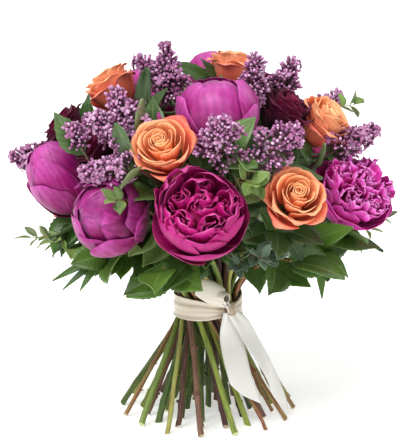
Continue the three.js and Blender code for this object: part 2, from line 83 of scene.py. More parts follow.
# Name, bearing, climb, reach and size, and the bearing and climb that it faces, where not outwards.
CUT_STEMS = [
    ("peony_open_front", -3, 20, 142, 47, 1, 44),
    ("peony_bud_front_left", -43, 16, 145, 37),
    ("peony_bud_left", -90, 20, 157, 35, -84, 58),
    ("peony_bud_crown", 9, 69, 136, 38, 11, 80),
    ("peony_ruffled_right", 86, 15, 150, 42, 40, 44),
    ("peony_bud_crown_back", 176, 60, 152, 34),
    ("peony_bud_left_back", -138, 50, 150, 34),
    ("peony_ruffled_back", 169, 14, 150, 42),
    ("peony_bud_back_left", -139, 10, 152, 38),
    ("peony_open_back_right", 138, 12, 152, 38),
    ("rose_orange_front", -22, 43, 154, 33, -16, 44),
    ("rose_orange_front_right", 36, 23, 152, 32, 12, 42),
    ("rose_orange_right", 95, 43, 155, 33, 72, 44),
    ("rose_orange_left", -105, 54, 170, 30),
    ("rose_orange_crown", 139, 76, 161, 29),
    ("rose_orange_back", 147, 38, 158, 29),
    ("rose_orange_back_left", -165, 38, 158, 29),
    ("rose_orange_left_low", -114, 6, 158, 27),
    ("rose_red_far_left", -96, 35, 172, 28),
    ("rose_red_left", -75, 38, 142, 25),
    ("rose_red_right", 79, 58, 144, 31),
    ("rose_red_crown_right", 130, 56, 154, 25),
    ("rose_red_crown_left", -80, 58, 142, 19),
    ("rose_red_back_right", 113, 14, 158, 26),
    ("rose_red_back_left", -164, 12, 158, 27),
    ("lilac_far_left", -105, 19, 189, 15, -95, 2),
    ("lilac_crown_left", -76, 72, 160, 19, -90, 50),
    ("lilac_left_high", -51, 46, 162, 19, -84, 20),
    ("lilac_left", -68, 36, 162, 14, -80, 66),
    ("lilac_front_left", -41, 31, 162, 17, -80, 0),
    ("lilac_front", 5, 44, 166, 23),
    ("lilac_front_right", 30, 41, 162, 22, 62, 42),
    ("lilac_crown_right", 56, 71, 160, 18, 60, 82),
    ("lilac_crown_back", 109, 60, 160, 18, 95, 72),
    ("lilac_right", 90, 32, 165, 18, 102, 26),
    ("lilac_back_right", 124, 36, 170, 20),
    ("lilac_back", 171, 38, 168, 20),
    ("lilac_back_left", -143, 27, 174, 20),
    ("lemon_leaf_front", -22, -6, 120, 8),
    ("lemon_leaf_front_left", -62, -6, 120, 8),
    ("lemon_leaf_left", -100, -6, 120, 8),
    ("lemon_leaf_back_left", -150, -8, 120, 8),
    ("lemon_leaf_back", 166, -8, 120, 8),
    ("lemon_leaf_back_right", 120, -8, 120, 8),
    ("lemon_leaf_right", 80, -6, 120, 8),
    ("lemon_leaf_front_right", 46, -6, 120, 8),
    ("olive_sprig_front", 20, 1, 120, 8),
    ("myrtle_sprig_left", -84, -3, 150, 8),
    ("myrtle_sprig_front_left", -32, 23, 158, 8),
    ("myrtle_sprig_front_right", 14, 34, 150, 8),
    ("myrtle_sprig_right_high", 112, 40, 178, 8),
    ("myrtle_sprig_right", 100, 0, 160, 8),
]

# The bearing and climb of the second panicle, on the lilac stems that bear a pair.
TWINS = {"lilac_crown_left": (-66, 80), "lilac_left_high": (-72, 62), "lilac_back": (-172, 64)}

# The kinds of stem, each a part of its stems' names: how far below the flower's middle the stem joins
# it, in flower sizes, the stem's radius, the space between its joints and how woody it is.
KINDS = {
    "peony_open": (0.75, 3.2, 62, 0.0),
    "peony_ruffled": (0.75, 3.2, 62, 0.0),
    "peony_bud": (0.85, 3.2, 62, 0.0),
    "rose_orange": (0.88, 3.0, 62, 0.0),
    "rose_red": (0.88, 3.0, 62, 0.0),
    "lilac": (1.2, 2.9, 48, 1.0),
    "lemon_leaf": (1.0, 2.3, 30, 0.5),
    "sprig": (1.0, 1.9, 26, 0.3),
}


def direction(bearing, climb):
    turn = math.radians(bearing - 90)
    rise = math.radians(climb)
    level = math.cos(rise)
    return np.array([math.cos(turn) * level, math.sin(turn) * level, math.sin(rise)])


def unit(vector):
    return vector / (np.linalg.norm(vector, axis=-1, keepdims=True) + 1e-12)


def run_along(line):
    """How far each point of a line lies from its start, along the line."""
    return np.concatenate([[0], np.cumsum(np.linalg.norm(np.diff(line, axis=0), axis=1))])


def spread(z):
    """The shared map of the bundle from the tie's level to another: how much of a slot's place at the
    tie counts, and how much of it a quarter turn further round."""
    down = (TIE_HEIGHT - z) / TIE_HEIGHT
    return 1 + FLARE * (np.hypot(down, FLARE_EASE) - FLARE_EASE), TWIST * down


def bundle_point(slot, z):
    out, round_ = spread(z)
    x = slot[0] * out - slot[1] * round_
    y = slot[1] * out + slot[0] * round_
    return np.stack(np.broadcast_arrays(x, y, z), axis=-1)


def on_curve(s, corners):
    """Points at the shares s of a cubic curve with four corner points."""
    r = 1 - s
    return np.stack([r**3, 3 * r * r * s, 3 * r * s * s, s**3], axis=-1) @ np.array(corners)


class CutStem:
    """One flower or branch of greenery with its stem, placed as in the CAD model."""

    def __init__(self, number, name, bearing, climb, reach, size, *faces):
        self.name, self.size = name, size
        self.kind = next(kind for kind in KINDS if kind in name)
        self.join, self.radius, self.joint_space, self.woody = KINDS[self.kind]
        self.axis = direction(*(faces or (bearing, climb)))
        self.axes = [self.axis]
        if name in TWINS:
            self.axes.append(direction(*TWINS[name]))
        self.middle = direction(bearing, climb) * reach + UP * DOME_HEIGHT
        self.top = self.middle - self.axis * self.join * size
        self.random = np.random.default_rng(1000 + number)

    def bend(self, t):
        """Points on the easy bend from the bundle to the flower, t from 0 to 1."""
        start = bundle_point(self.slot, BEND_FROM)
        heading = unit(start - bundle_point(self.slot, BEND_FROM - 1.0))
        length = np.linalg.norm(self.top - start)
        out = start + heading * 0.35 * length
        back = self.top - self.axis * 0.22 * length
        return on_curve(np.asarray(t, dtype=float), [start, out, back, self.top])

    def path(self):
        """Points at even steps all the way from the floor to the flower, and how far along they lie."""
        low = bundle_point(self.slot, np.linspace(0, BEND_FROM, 60))
        high = self.bend(np.linspace(0, 1, 60))[1:]
        line = np.concatenate([low, high])
        run = run_along(line)
        even = np.linspace(0, run[-1], max(8, int(run[-1] / PATH_STEP)))
        return np.stack([np.interp(even, run, line[:, i]) for i in range(3)], axis=1), even


def fill_slots(stems):
    """Gives every stem its place at the tie, by the same rule as the CAD model."""
    for stem in stems:
        out, round_ = spread(stem.top[2])
        stem.distance = math.hypot(stem.top[0], stem.top[1]) / math.hypot(out, round_)
        wanted = math.atan2(stem.top[1], stem.top[0]) - math.atan2(round_, out)
        stem.wanted = wanted + FULL_TURN if wanted < 0 else wanted
    by_distance = sorted(stems, key=lambda stem: stem.distance)
    taken = 0
    for ring, size in enumerate(RING_SIZES):
        members = sorted(by_distance[taken : taken + size], key=lambda stem: stem.wanted)
        taken += size
        share = FULL_TURN / len(members)
        leads = [stem.wanted - i * share for i, stem in enumerate(members)]
        start = math.atan2(sum(map(math.sin, leads)), sum(map(math.cos, leads)))
        for i, stem in enumerate(members):
            angle = start + i * share
            stem.slot = (ring * RING_STEP * math.cos(angle), ring * RING_STEP * math.sin(angle))


stems = [CutStem(number, *row) for number, row in enumerate(CUT_STEMS)]
fill_slots(stems)

# ---------------------------------------------------------------- gathering points and faces


def grid_of(across, along):
    """Two grids of shares: from -1 to 1 across, and from 0 to 1 along."""
    return np.meshgrid(np.linspace(-1, 1, across), np.linspace(0, 1, along), indexing="ij")


def walls(count, sides):
    """Faces between closed rings of points that follow one another."""
    index = np.arange(count * sides).reshape(count, sides)
    beside = np.roll(index, -1, axis=1)
    return np.stack([index[:-1], beside[:-1], beside[1:], index[1:]], axis=-1).reshape(-1, 4)


class Shape:
    """Points and faces of one piece. Each point also carries what its material reads: `place` is
    where it lies on its petal, leaf or stem, and `trait` what its petal, leaf or stem is like. A
    triangle is a face whose last two points are the same."""

    def __init__(self):
        self.points, self.places, self.traits, self.faces = [], [], [], []
        self.count = 0

    def add(self, points, faces, places, traits):
        """Adds points, and faces that number them from 0."""
        points = points.reshape(-1, 3)
        self.points.append(points)
        self.faces.append(faces + self.count)
        self.places.append(np.broadcast_to(np.reshape(places, (-1, 3)), points.shape))
        self.traits.append(np.broadcast_to(np.reshape(traits, (-1, 3)), points.shape))
        self.count += len(points)

    def sheet(self, grid, thick, places, trait):
        """A thin closed sheet over a grid of points, given as (across, along, 3). The last number of
        its trait is 0 on the underside."""
        across, along = grid.shape[:2]
        total = across * along
        normal = unit(np.cross(np.gradient(grid, axis=0), np.gradient(grid, axis=1)))
        both = np.stack([grid + normal * thick / 2, grid - normal * thick / 2])
        index = np.arange(total).reshape(across, along)
        top = np.stack([index[:-1, :-1], index[1:, :-1], index[1:, 1:], index[:-1, 1:]], axis=-1)
        top = top.reshape(-1, 4)
        rim = np.concatenate([index[:-1, 0], index[-1, :-1], index[:0:-1, -1], index[0, :0:-1]])
        ahead = np.roll(rim, -1)
        edge = np.stack([rim, rim + total, ahead + total, ahead], axis=-1)
        places = np.stack(np.broadcast_arrays(*places), axis=-1)
        traits = np.broadcast_to(trait, both.shape).copy()
        traits[1, ..., 2] = 0.0
        faces = np.concatenate([top, top[:, ::-1] + total, edge])
        self.add(both, faces, np.stack([places, places]), traits)

    def skin(self, rings, places, trait, ends):
        """A closed skin over rings of points. The ends are the places of its first and last caps."""
        sides = rings.shape[1]
        self.add(rings, walls(*rings.shape[:2]), places, trait)
        near = np.arange(sides)
        beside = np.roll(near, -1)
        hub = np.full(sides, 2 * sides)
        outer = np.stack([near, beside, beside + sides, near + sides], axis=-1)
        inner = np.stack([near + sides, beside + sides, hub, hub], axis=-1)
        faces = np.concatenate([outer, inner])
        for ring, place, order in zip((rings[0], rings[-1]), ends, ([1, 0, 3, 2], [0, 1, 2, 3])):
            middle = ring.mean(axis=0)
            points = np.concatenate([ring, middle + (ring - middle) * 0.5, middle[None]])
            self.add(points, faces[:, order], place, trait)

    def tube(self, line, radii, sides, trait, ridge=0.0, ridge_turn=0.0, cut=None):
        """A closed tube along a line of points, round or with three low ridges. A cut gives the facing
        of a slanting cut across its start, whose lowest point rests on the floor."""
        ahead = unit(np.gradient(line, axis=0))
        side = np.zeros_like(ahead)
        # Any direction will do to start from, as long as no tube runs along it.
        aim = np.cross(ahead[0], [0.31, 0.77, 0.55])
        for i in range(len(line)):
            aim = unit(aim - ahead[i] * aim.dot(ahead[i]))
            side[i] = aim
        other = np.cross(ahead, side)
        turn = np.linspace(0, FULL_TURN, sides, endpoint=False)
        spokes = np.cos(turn)[:, None] * side[:, None] + np.sin(turn)[:, None] * other[:, None]
        reach = np.broadcast_to(np.reshape(radii, (-1, 1)), (len(line), sides))
        reach = reach + ridge * np.cos(3 * turn + ridge_turn)
        rings = line[:, None] + spokes * reach[..., None]
        if cut is not None:
            slide = (line[0] - rings[0]) @ cut / ahead[0].dot(cut)
            rings[0] += ahead[0] * slide[:, None]
            rings[0] -= ahead[0] * (rings[0, :, 2].min() / ahead[0, 2])
        run = run_along(line)
        places = np.stack(np.broadcast_arrays(turn / FULL_TURN, run[:, None], 1.0), axis=-1)
        raw = 1.0 if cut is None else 0.0
        self.skin(rings, places, trait, ((0.0, 0.0, raw), (0.0, run[-1], 1.0)))

    def object(self, name, material):
        """The shape as a Blender object, in metres and in its place."""
        points = (np.concatenate(self.points) * METRES + AXIS).astype(np.float32)
        faces = np.concatenate(self.faces)
        mesh = bpy.data.meshes.new(name)
        mesh.vertices.add(len(points))
        mesh.vertices.foreach_set("co", points.ravel())
        triangle = faces[:, 2] == faces[:, 3]
        sizes = np.where(triangle, 3, 4)
        keep = np.ones(faces.shape, dtype=bool)
        keep[triangle, 3] = False
        mesh.loops.add(int(sizes.sum()))
        mesh.loops.foreach_set("vertex_index", faces[keep].astype(np.int32))
        mesh.polygons.add(len(faces))
        starts = np.concatenate([[0], np.cumsum(sizes)[:-1]])
        mesh.polygons.foreach_set("loop_start", starts.astype(np.int32))
        mesh.polygons.foreach_set("use_smooth", np.ones(len(faces), dtype=bool))
        for label, values in (("place", self.places), ("trait", self.traits)):
            layer = mesh.attributes.new(label, "FLOAT_VECTOR", "POINT")
            layer.data.foreach_set("vector", np.concatenate(values).astype(np.float32).ravel())
        mesh.update()
        mesh.validate()
        piece = bpy.data.objects.new(name, mesh)
        bpy.context.scene.collection.objects.link(piece)
        piece.data.materials.append(material)
        return piece


def settle(piece, nodes, slot):
    """Every piece rides on the one body and stands for its CAD nodes."""
    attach(piece, "root")
    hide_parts(*nodes)
    return piece


def axes_about(axis, spin=0.0):
    """A flower's own right, up and facing directions as the rows of a matrix."""
    helper = UP if abs(axis[2]) < 0.95 else np.array([0.0, 1.0, 0.0])
    right = unit(np.cross(helper, axis))
    turned = right * math.cos(spin) + np.cross(axis, right) * math.sin(spin)
    return np.stack([turned, np.cross(axis, turned), axis])


# ---------------------------------------------------------------- petals


def waviness(rand, count, scale):
    """A smooth random field over points of space, about 1 high."""
    waves = rand.normal(0, scale, (count, 3))
    phases = rand.uniform(0, ANY_TURN, count)
    return lambda points: np.sin(points @ waves.T + phases).sum(axis=-1) / math.sqrt(count)


class Flower:
    """A bloom, or one bunch of petals within it: where it sits and faces, and its size. Its petals are
    worked out in sizes of the flower, with the stem below and the flower's face above."""

    def __init__(self, shape, rand, middle, axis, size, stretch=(1.0, 1.0), name="", detail=1.0):
        self.shape, self.rand, self.middle, self.size, self.name = shape, rand, middle, size, name
        self.axes = axes_about(axis, rand.uniform(0, ANY_TURN))
        girth, height = stretch
        self.stretch = np.array([girth, girth, height])
        self.detail = detail
        self.lumps = waviness(rand, 6, 2.6)

    def petal(self, local, u, s, depth):
        """Adds one petal. Its depth is 0 in the heart of the flower and 1 on the outside."""
        points = local * self.stretch * self.size @ self.axes + self.middle
        self.shape.sheet(points, PETAL_THICKNESS, (u, s, depth), (self.rand.uniform(), depth, 1.0))

    def bunches(self, count, outs, heights, leans, scales, reel, lift):
        """Smaller flowers within this one: one in the middle, and the rest round it, some way out and
        leaning outwards. The first number of each pair is for the middle, and the second for the rest."""
        rand = self.rand
        lead = rand.uniform(0, ANY_TURN)
        rows = [(outs[0], 0.0, heights[0], leans[0], scales[0])]
        for k in range(count):
            turn = lead + k * FULL_TURN / count
            rows.append((outs[1], turn, heights[1], leans[1], rand.uniform(*scales[1])))
        for out, turn, up, lean, scale in rows:
            turn = turn + rand.uniform(-reel, reel)
            up = up + rand.uniform(*lift)
            aim = np.array([math.cos(turn), math.sin(turn), 0.0])
            middle = (aim * out + UP * up) * self.size @ self.axes + self.middle
            axis = unit(aim * math.sin(lean) + UP * math.cos(lean)) @ self.axes
            yield Flower(self.shape, rand, middle, axis, self.size * scale, detail=self.detail)

    def points_on(self, across, along, corner):
        """Where each point lies on a petal: u across it, v along its own columns, s along its length.
        There are fewer points where the flower's detail is low."""
        u, v = grid_of(*(max(5, round(number * self.detail)) for number in (across, along)))
        return u, v, v * (1 - corner * np.abs(u) ** 2.4)

    def core(self, scale):
        """The close-packed heart, under the petals."""
        polar = np.linspace(0.03, np.pi - 0.03, 12)[:, None]
        turn = np.linspace(0, FULL_TURN, 18, endpoint=False)
        ball = [np.sin(polar) * np.cos(turn), np.sin(polar) * np.sin(turn), -np.cos(polar)]
        ball = np.stack(np.broadcast_arrays(*ball), axis=-1) * self.size * scale
        ends = ((0.0, 0.0, 1.0), (0.0, 0.0, 1.0))
        self.shape.skin(ball @ self.axes + self.middle, (0.0, 0.3, 0.2), (0.5, 0.2, 1.0), ends)

    def turn_to(self, bearing):
        """The turn about the flower's axis that faces a bearing."""
        aim = self.axes @ direction(bearing, 0)
        return math.atan2(aim[1], aim[0])

    def ball_petal(self, turn, low, high, half, layer, lift=0.03, corner=0.3, spring=0.0):
        """A petal that lies on a ball, from one polar angle to another, measured from the stem. Its
        edge lifts off a little, and it springs away from the ball towards its tip."""
        rand = self.rand
        u, v, s = self.points_on(21, 17, corner)
        wave = 1 + 0.035 * np.sin(2.5 * u + rand.uniform(0, 6)) + 0.016 * np.sin(8 * u + rand.uniform(0, 6))
        polar = np.radians(low + (high - low) * s * wave)
        side = u * math.radians(half) * (0.3 + 0.7 * np.sin(np.pi * (0.04 + 0.58 * v)))
        edge = np.maximum(np.abs(u) ** 6, s**9) * (0.6 + 0.6 * np.sin(5 * u + 3 * s + rand.uniform(0, 6)))
        out, beside = np.sin(polar) * np.cos(side), np.sin(side)
        x = out * math.cos(turn) - beside * math.sin(turn)
        y = out * math.sin(turn) + beside * math.cos(turn)
        aim = np.stack([x, y, -np.cos(polar) * np.cos(side)], axis=-1)
        reach = layer * (1 + self.lumps(aim) * 0.026) + lift * edge + spring * s**2.5
        crease = 0.012 * np.exp(-(((u - 0.25 * math.sin(turn * 7)) / 0.12) ** 2)) * np.sin(np.pi * s)
        reach = reach + crease + 0.007 * np.sin(9 * u + rand.uniform(0, 6)) * s**3
        self.petal(aim * reach[..., None], u, s, 1.0)

    def cup_petal(self, turn, grid, wall, height, flare, splay, half, depth, base=-0.7, ruffle=0.0,
                  waves=3.0, tuck=0.0, corner=0.25, roll=0.0, tip=0.0, shut=0.0):
        """A petal that stands round the flower's axis. Its side view is one easy curve: from the base,
        out to the wall, up, and out or over at the rim, which lies at the wall's distance times the
        flare plus the splay. The tuck winds one edge under the next petal."""
        rand = self.rand
        u, v, s = self.points_on(*grid, corner)
        s = s + tip * np.exp(-((u / 0.2) ** 2)) * v**6
        belly = (wall * 1.05, base + 0.22 * (height - base))
        rim = (wall * flare + splay, height)
        side_view = on_curve(s, [(0.05, base), belly, (wall, height + roll), rim])
        fade = np.clip(s, 0, 1.1) ** 3
        phase = rand.uniform(0, ANY_TURN, 5)
        crinkle = np.sin(waves * u + phase[0]) + 0.5 * np.sin(2.3 * waves * u + phase[1] + 2 * s)
        out = side_view[..., 0] + tuck * u + ruffle * fade * crinkle - shut * fade * u * u
        lap = 0.8 * np.sin(1.3 * waves * u + phase[2]) + 0.4 * np.sin(3.1 * waves * u + phase[3])
        up = side_view[..., 1] + ruffle * fade * lap
        wide = math.radians(half) * (0.55 + 0.45 * np.sin(np.pi * np.clip(0.1 + 0.6 * v, 0, 1)))
        angle = turn + u * wide
        local = np.stack([out * np.cos(angle), out * np.sin(angle), up], axis=-1)
        self.petal(local + self.lumps(local)[..., None] * 0.012, u, s, depth)

    def whorl(self, count, lead, grid, **measures):
        """Cup petals in turn round the flower. A measure is one number, or two for the first and the
        last petal, and a third and fourth are the two ends of a random part."""
        for i in range(count):
            values = {"flare": 1.0, "splay": 0.0}
            for measure, numbers in measures.items():
                first, last, *chance = numbers if isinstance(numbers, tuple) else (numbers, numbers)
                values[measure] = first + (last - first) * i / (count - 1)
                if chance:
                    values[measure] += chance[0] + (chance[1] - chance[0]) * self.rand.random()
            self.cup_petal(i * GOLDEN + lead, grid, **values)


# The layers of a bud: number of petals, the angles where they start and end, half their width, their
# distance from the middle and how far their edges lift.
BUD_LAYERS = [
    (5, 40, 205, 72, 0.75, 0.016),
    (5, 24, 182, 60, 0.835, 0.02),
    (6, 14, 158, 52, 0.925, 0.03),
]
# The buds' petals that stand away: bearing, the angles where they start and end, half their width,
# their distance from the middle and how far the tip springs out.
LOOSE_PETALS = {
    "peony_bud_crown": [(-72, 12, 92, 30, 1.0, 0.5), (72, 24, 158, 32, 1.02, 0.1)],
    "peony_bud_front_left": [(38, 14, 96, 30, 1.03, 0.1), (64, 20, 112, 28, 1.05, 0.13)],
    "peony_bud_left": [(-6, 20, 128, 40, 1.02, 0.05)],
}


def peony_bud(flower):
    """A closed peony: broad petals wrapped over each other in a ball, and a few loose outer ones."""
    rand = flower.rand
    flower.core(0.72)
    for count, low, high, half, layer, lift in BUD_LAYERS:
        lead = rand.uniform(0, ANY_TURN)
        for i in range(count):
            turn = lead + i * FULL_TURN / count + rand.uniform(-0.3, 0.3)
            top = high + rand.uniform(-24, 8)
            flower.ball_petal(turn, low, top, half, layer + 0.016 * i, lift)
    lead = rand.uniform(0, ANY_TURN)
    for i in range(5):
        top = rand.uniform(74, 128)
        spring = rand.uniform(0.0, 0.08)
        flower.ball_petal(lead + i * GOLDEN, 8, top, 46, 1.01 + 0.012 * i, 0.05, spring=spring)
    for bearing, low, high, half, layer, spring in LOOSE_PETALS.get(flower.name, []):
        flower.ball_petal(flower.turn_to(bearing), low, high, half, layer, 0.09, 0.34, spring)


def ruffled_peony(flower):
    """A fully double peony: heaps of narrow crinkled petals, held in a bowl of broad guard petals."""
    flower.core(0.42)
    heaps = flower.bunches(6, outs=(0.0, 0.46), heights=(0.22, 0.08), leans=(0.0, 0.42),
                           scales=(0.58, (0.5, 0.6)), reel=0.2, lift=(-0.06, 0.1))
    for heap in heaps:
        heap.whorl(15, 0.0, (13, 11), wall=(0.08, 0.74), height=(0.95, 0.65, -0.16, 0.14),
                   flare=(0, 0, 0.5, 1.25), half=(62, 28), depth=(0.05, 0.25), base=-0.5, ruffle=0.07,
                   waves=4, tuck=0.1, shut=(0, 0, -0.1, 0.2), roll=0.12, tip=0.08)
    flower.whorl(16, 0.7, (17, 12), wall=(0.66, 0.9), height=(0.5, 0.16, -0.16, 0.14),
                 splay=(0, 0, -0.12, 0.12), half=(0, 0, 20, 34), depth=(0.3, 0.8), ruffle=0.05, waves=4,
                 roll=0.1, tip=0.05)
    flower.whorl(9, 0.2, (19, 13), wall=(0.92, 1.016), height=(0, 0, -0.12, 0.22),
                 splay=(0, 0, -0.06, 0.1), half=(0, 0, 36, 48), depth=1, ruffle=0.03, roll=0.06)


# The open peonies' petals that stand up beyond the rest: bearing, distance out at the wall, height,
# how far the rim leans out, and half their width.
RAISED_PETALS = {
    "peony_open_front": [
        (-162, 0.87, 0.68, -0.15, 26),
        (-130, 0.88, 0.66, -0.12, 28),
        (-98, 0.92, 0.52, -0.04, 22),
    ],
}


def open_peony(flower):
    """A peony in full bowl: broad guard petals round a heart of folded petals, in a few bunches."""
    flower.core(0.36)
    heaps = flower.bunches(5, outs=(0.04, 0.42), heights=(0.14, 0.06), leans=(0.1, 0.36),
                           scales=(0.5, (0.42, 0.58)), reel=0.3, lift=(-0.1, 0.1))
    for heap in heaps:
        heap.whorl(11, 0.0, (17, 12), wall=(0.16, 0.7), height=(0.84, 0.58, -0.2, 0.16),
                   flare=(0, 0, 0.3, 1.3), half=(0, 0, 34, 64), depth=(0.1, 0.3), base=-0.5, ruffle=0.07,
                   waves=3.4, tuck=0.12, shut=(0, 0, -0.05, 0.25), roll=0.16, tip=0.05)
    flower.whorl(9, 0.4, (19, 13), wall=(0.7, 0.84), height=(0.56, 0.52, -0.22, 0.1),
                 splay=(0, 0, -0.06, -0.26), half=(0, 0, 32, 46), depth=(0.4, 0.7), ruffle=0.03,
                 waves=3.5, shut=0.06, roll=0.06)
    flower.whorl(7, 0.9, (21, 14), wall=(0.87, 0.942), height=(0, -0.12, 0.18, 0.52),
                 splay=(0, 0, -0.03, -0.22), half=(0, 0, 38, 52), depth=0.85, ruffle=0.03, waves=2.8,
                 tuck=0.03, corner=0.4, roll=0.08)
    flower.whorl(6, 0.2, (21, 13), wall=(0.92, 0.97), height=(0, 0, -0.3, 0.1),
                 splay=(0, 0, -0.06, 0.04), half=(0, 0, 42, 56), depth=1, ruffle=0.03, waves=2.8,
                 corner=0.35, roll=0.05)
    raised = RAISED_PETALS.get(flower.name, [])
    flower.rand = np.random.default_rng(len(raised))
    for bearing, wall, height, splay, half in raised:
        flower.cup_petal(flower.turn_to(bearing), (21, 13), wall, height, flare=1.0, splay=splay,
                         half=half, depth=0.85, ruffle=0.06, waves=2.6, corner=0.3, roll=0.1, tip=0.08)


def rose(flower):
    """A garden rose: a tightly wound heart, a bowl of broader petals, and outer ones rolled back."""
    flower.core(0.3)
    for i in range(8):
        share = i / 7
        height = 0.55 + 0.05 * math.sin(3 * share) + flower.rand.uniform(-0.02, 0.025)
        flower.cup_petal(i * GOLDEN, (17, 9), 0.05 + 0.19 * share, height, flare=0.88, splay=0.02,
                         half=116 - 44 * share, depth=0.05 * share, base=-0.3, ruffle=0.008,
                         tuck=0.04, corner=0.12)
    flower.whorl(10, 0.5, (19, 12), wall=(0.27, 0.6), height=(0.6, 0.5, -0.045, 0.04),
                 splay=(0.01, 0.14, -0.04, 0.03), half=(70, 50), depth=(0.1, 0.4), base=-0.6,
                 ruffle=(0.012, 0.026), tuck=0.05, corner=0.26, roll=(0.03, 0.1), tip=0.04)
    flower.whorl(11, 1.3, (19, 13), wall=(0.62, 0.82), height=(0.44, -0.02, -0.06, 0.06),
                 splay=(0.17, 0.23, -0.05, 0.04), half=(52, 44), depth=(0.4, 1), base=-0.85, ruffle=0.035,
                 waves=2.6, tuck=0.04, corner=0.3, roll=(0.12, 0.24), tip=0.07)


# Length, width and spread of the five sepals in the green cup under a flower, in flower sizes.
ROSE_SEPALS = (0.75, 0.16, 0.42)
PEONY_SEPALS = (0.55, 0.3, 0.5)


def sepals(shape, stem, length, width, spreading):
    """The green cup under a flower."""
    rand = stem.random
    axes = axes_about(stem.axis, 0.3)
    u, s = grid_of(5, 9)
    half = width * (np.sin(np.pi * (0.1 + 0.9 * s) ** 0.8) * 0.9 + 0.06)
    out = 0.06 + spreading * np.sin(1.5 * s)
    up = -1.02 * stem.join + length * (s - 0.35 * spreading * s * s)
    for i in range(5):
        turn = FULL_TURN * i / 5 + rand.uniform(-0.2, 0.2)
        x = out * math.cos(turn) - u * half * math.sin(turn)
        y = out * math.sin(turn) + u * half * math.cos(turn)
        grid = np.stack([x, y, up], axis=-1) * stem.size @ axes + stem.middle
        shape.sheet(grid, LEAF_THICKNESS, (u, s, 0.5), (rand.uniform(), 0.6, 1.0))


# ---------------------------------------------------------------- lilac


def bud_template():
    """A closed lilac floret: a thin tube with a swollen, blunt tip. One unit long."""
    sides = 5
    profile = [(0.03, 0.0), (0.05, 0.34), (0.105, 0.58), (0.135, 0.84), (0.085, 0.96)]
    points = np.concatenate([*tube_rings(profile, sides), [[0, 0, -0.02], [0, 0, 1.0]]])
    index = np.arange(len(profile) * sides).reshape(-1, sides)
    beside = np.roll(index, -1, axis=1)
    low = np.full(sides, index.size)
    foot = np.stack([beside[0], index[0], low, low], axis=-1)
    tip = np.stack([index[-1], beside[-1], low + 1, low + 1], axis=-1)
    return points, np.concatenate([walls(*index.shape), foot, tip])


def tube_rings(profile, sides):
    """Rings of points round the upright axis, from pairs of radius and height."""
    turn = np.linspace(0, FULL_TURN, sides, endpoint=False)
    circle = np.stack([np.cos(turn), np.sin(turn)], axis=-1)
    return [np.column_stack([circle * radius, np.full(sides, height)]) for radius, height in profile]


def floret_template():
    """An open lilac floret: a thin tube with four blunt petals spread at its mouth."""
    points = tube_rings([(0.05, 0), (0.06, 0.4), (0.1, 0.8)], 5)
    faces = [walls(3, 5), [[4, 3, 2, 1], [4, 1, 0, 0], [10, 11, 12, 13], [10, 13, 14, 14]]]
    # Half of a petal's outline: how far out, half its width and height.
    outline = [(0.03, 0.06, 0.78), (0.22, 0.15, 0.86), (0.42, 0.17, 0.84), (0.55, 0.07, 0.76)]
    top = np.array([[0, 1, 3, 2], [2, 3, 5, 4], [4, 5, 7, 6]])
    rim = np.array([0, 1, 3, 5, 7, 6, 4, 2])
    beside = np.roll(rim, -1)
    edge = np.stack([rim, beside, beside + 8, rim + 8], axis=-1)
    petal = np.concatenate([top[:, ::-1], top + 8, edge])
    for k in range(4):
        aim = np.array([math.cos(k * np.pi / 2), math.sin(k * np.pi / 2), 0.0])
        side = np.cross(UP, aim)
        upper = [aim * out + side * half * sign + UP * up for out, half, up in outline for sign in (-1, 1)]
        points += [np.array(upper), np.array(upper) - UP * 0.035]
        faces.append(petal + 15 + 16 * k)
    return np.concatenate(points), np.concatenate(faces)


BUD = bud_template()
FLORET = floret_template()


def scatter(shape, template, bases, aims, lengths, traits, rand):
    """Adds one copy of a template at each base, pointing along its aim."""
    points, faces = template
    count = len(bases)
    helper = np.where(np.abs(aims[:, 2:3]) < 0.9, [[0.0, 0.0, 1.0]], [[1.0, 0.0, 0.0]])
    right = unit(np.cross(helper, aims))
    spin = rand.uniform(0, ANY_TURN, (count, 1))
    first = right * np.cos(spin) + np.cross(aims, right) * np.sin(spin)
    axes = np.stack([first, np.cross(aims, first), aims], axis=1)
    where = bases[:, None] + lengths[:, None, None] * (points @ axes)
    step = (np.arange(count) * len(points))[:, None, None]
    places = np.zeros_like(where)
    places[..., 1] = points[:, 2]
    traits = np.broadcast_to(traits[:, None], where.shape)
    shape.add(where, (faces[None] + step).reshape(-1, 4), places, traits)


def umbel(start, aim, count, spreading, rand):
    """Directions and roots of a spray of buds, in a cone round the aim."""
    axes = axes_about(aim, rand.uniform(0, ANY_TURN))
    turn = np.arange(count) * FULL_TURN / count + rand.uniform(-0.25, 0.25, count)
    lean = np.radians(spreading + rand.normal(0, 9, count))[:, None]
    spokes = np.cos(turn)[:, None] * axes[0] + np.sin(turn)[:, None] * axes[1]
    return unit(axes[2] * np.cos(lean) + spokes * np.sin(lean)), start + 0 * spokes


# Side twigs on a panicle, and how far up it its main twig ends.
BRANCHES = 20
SPINE_SHARE = 0.82
# How much of a panicle's radius its buds take up, and how long they are, in millimetres.
BUD_REACH = 9.0
BUD_LENGTHS = (8.6, 12.4)
# The share of the florets that are open.
OPEN_SHARE = 0.07
# Number of buds at the tip, and how far they spread, in degrees.
TIP_SPRAY = (7, 34)
# The sprays on each side twig: share of the way along it, number of buds and how far they spread.
SPRAYS = ((1.0, 1, 0), (1.0, 6, 32), (0.66, 4, 52), (0.3, 2, 56))


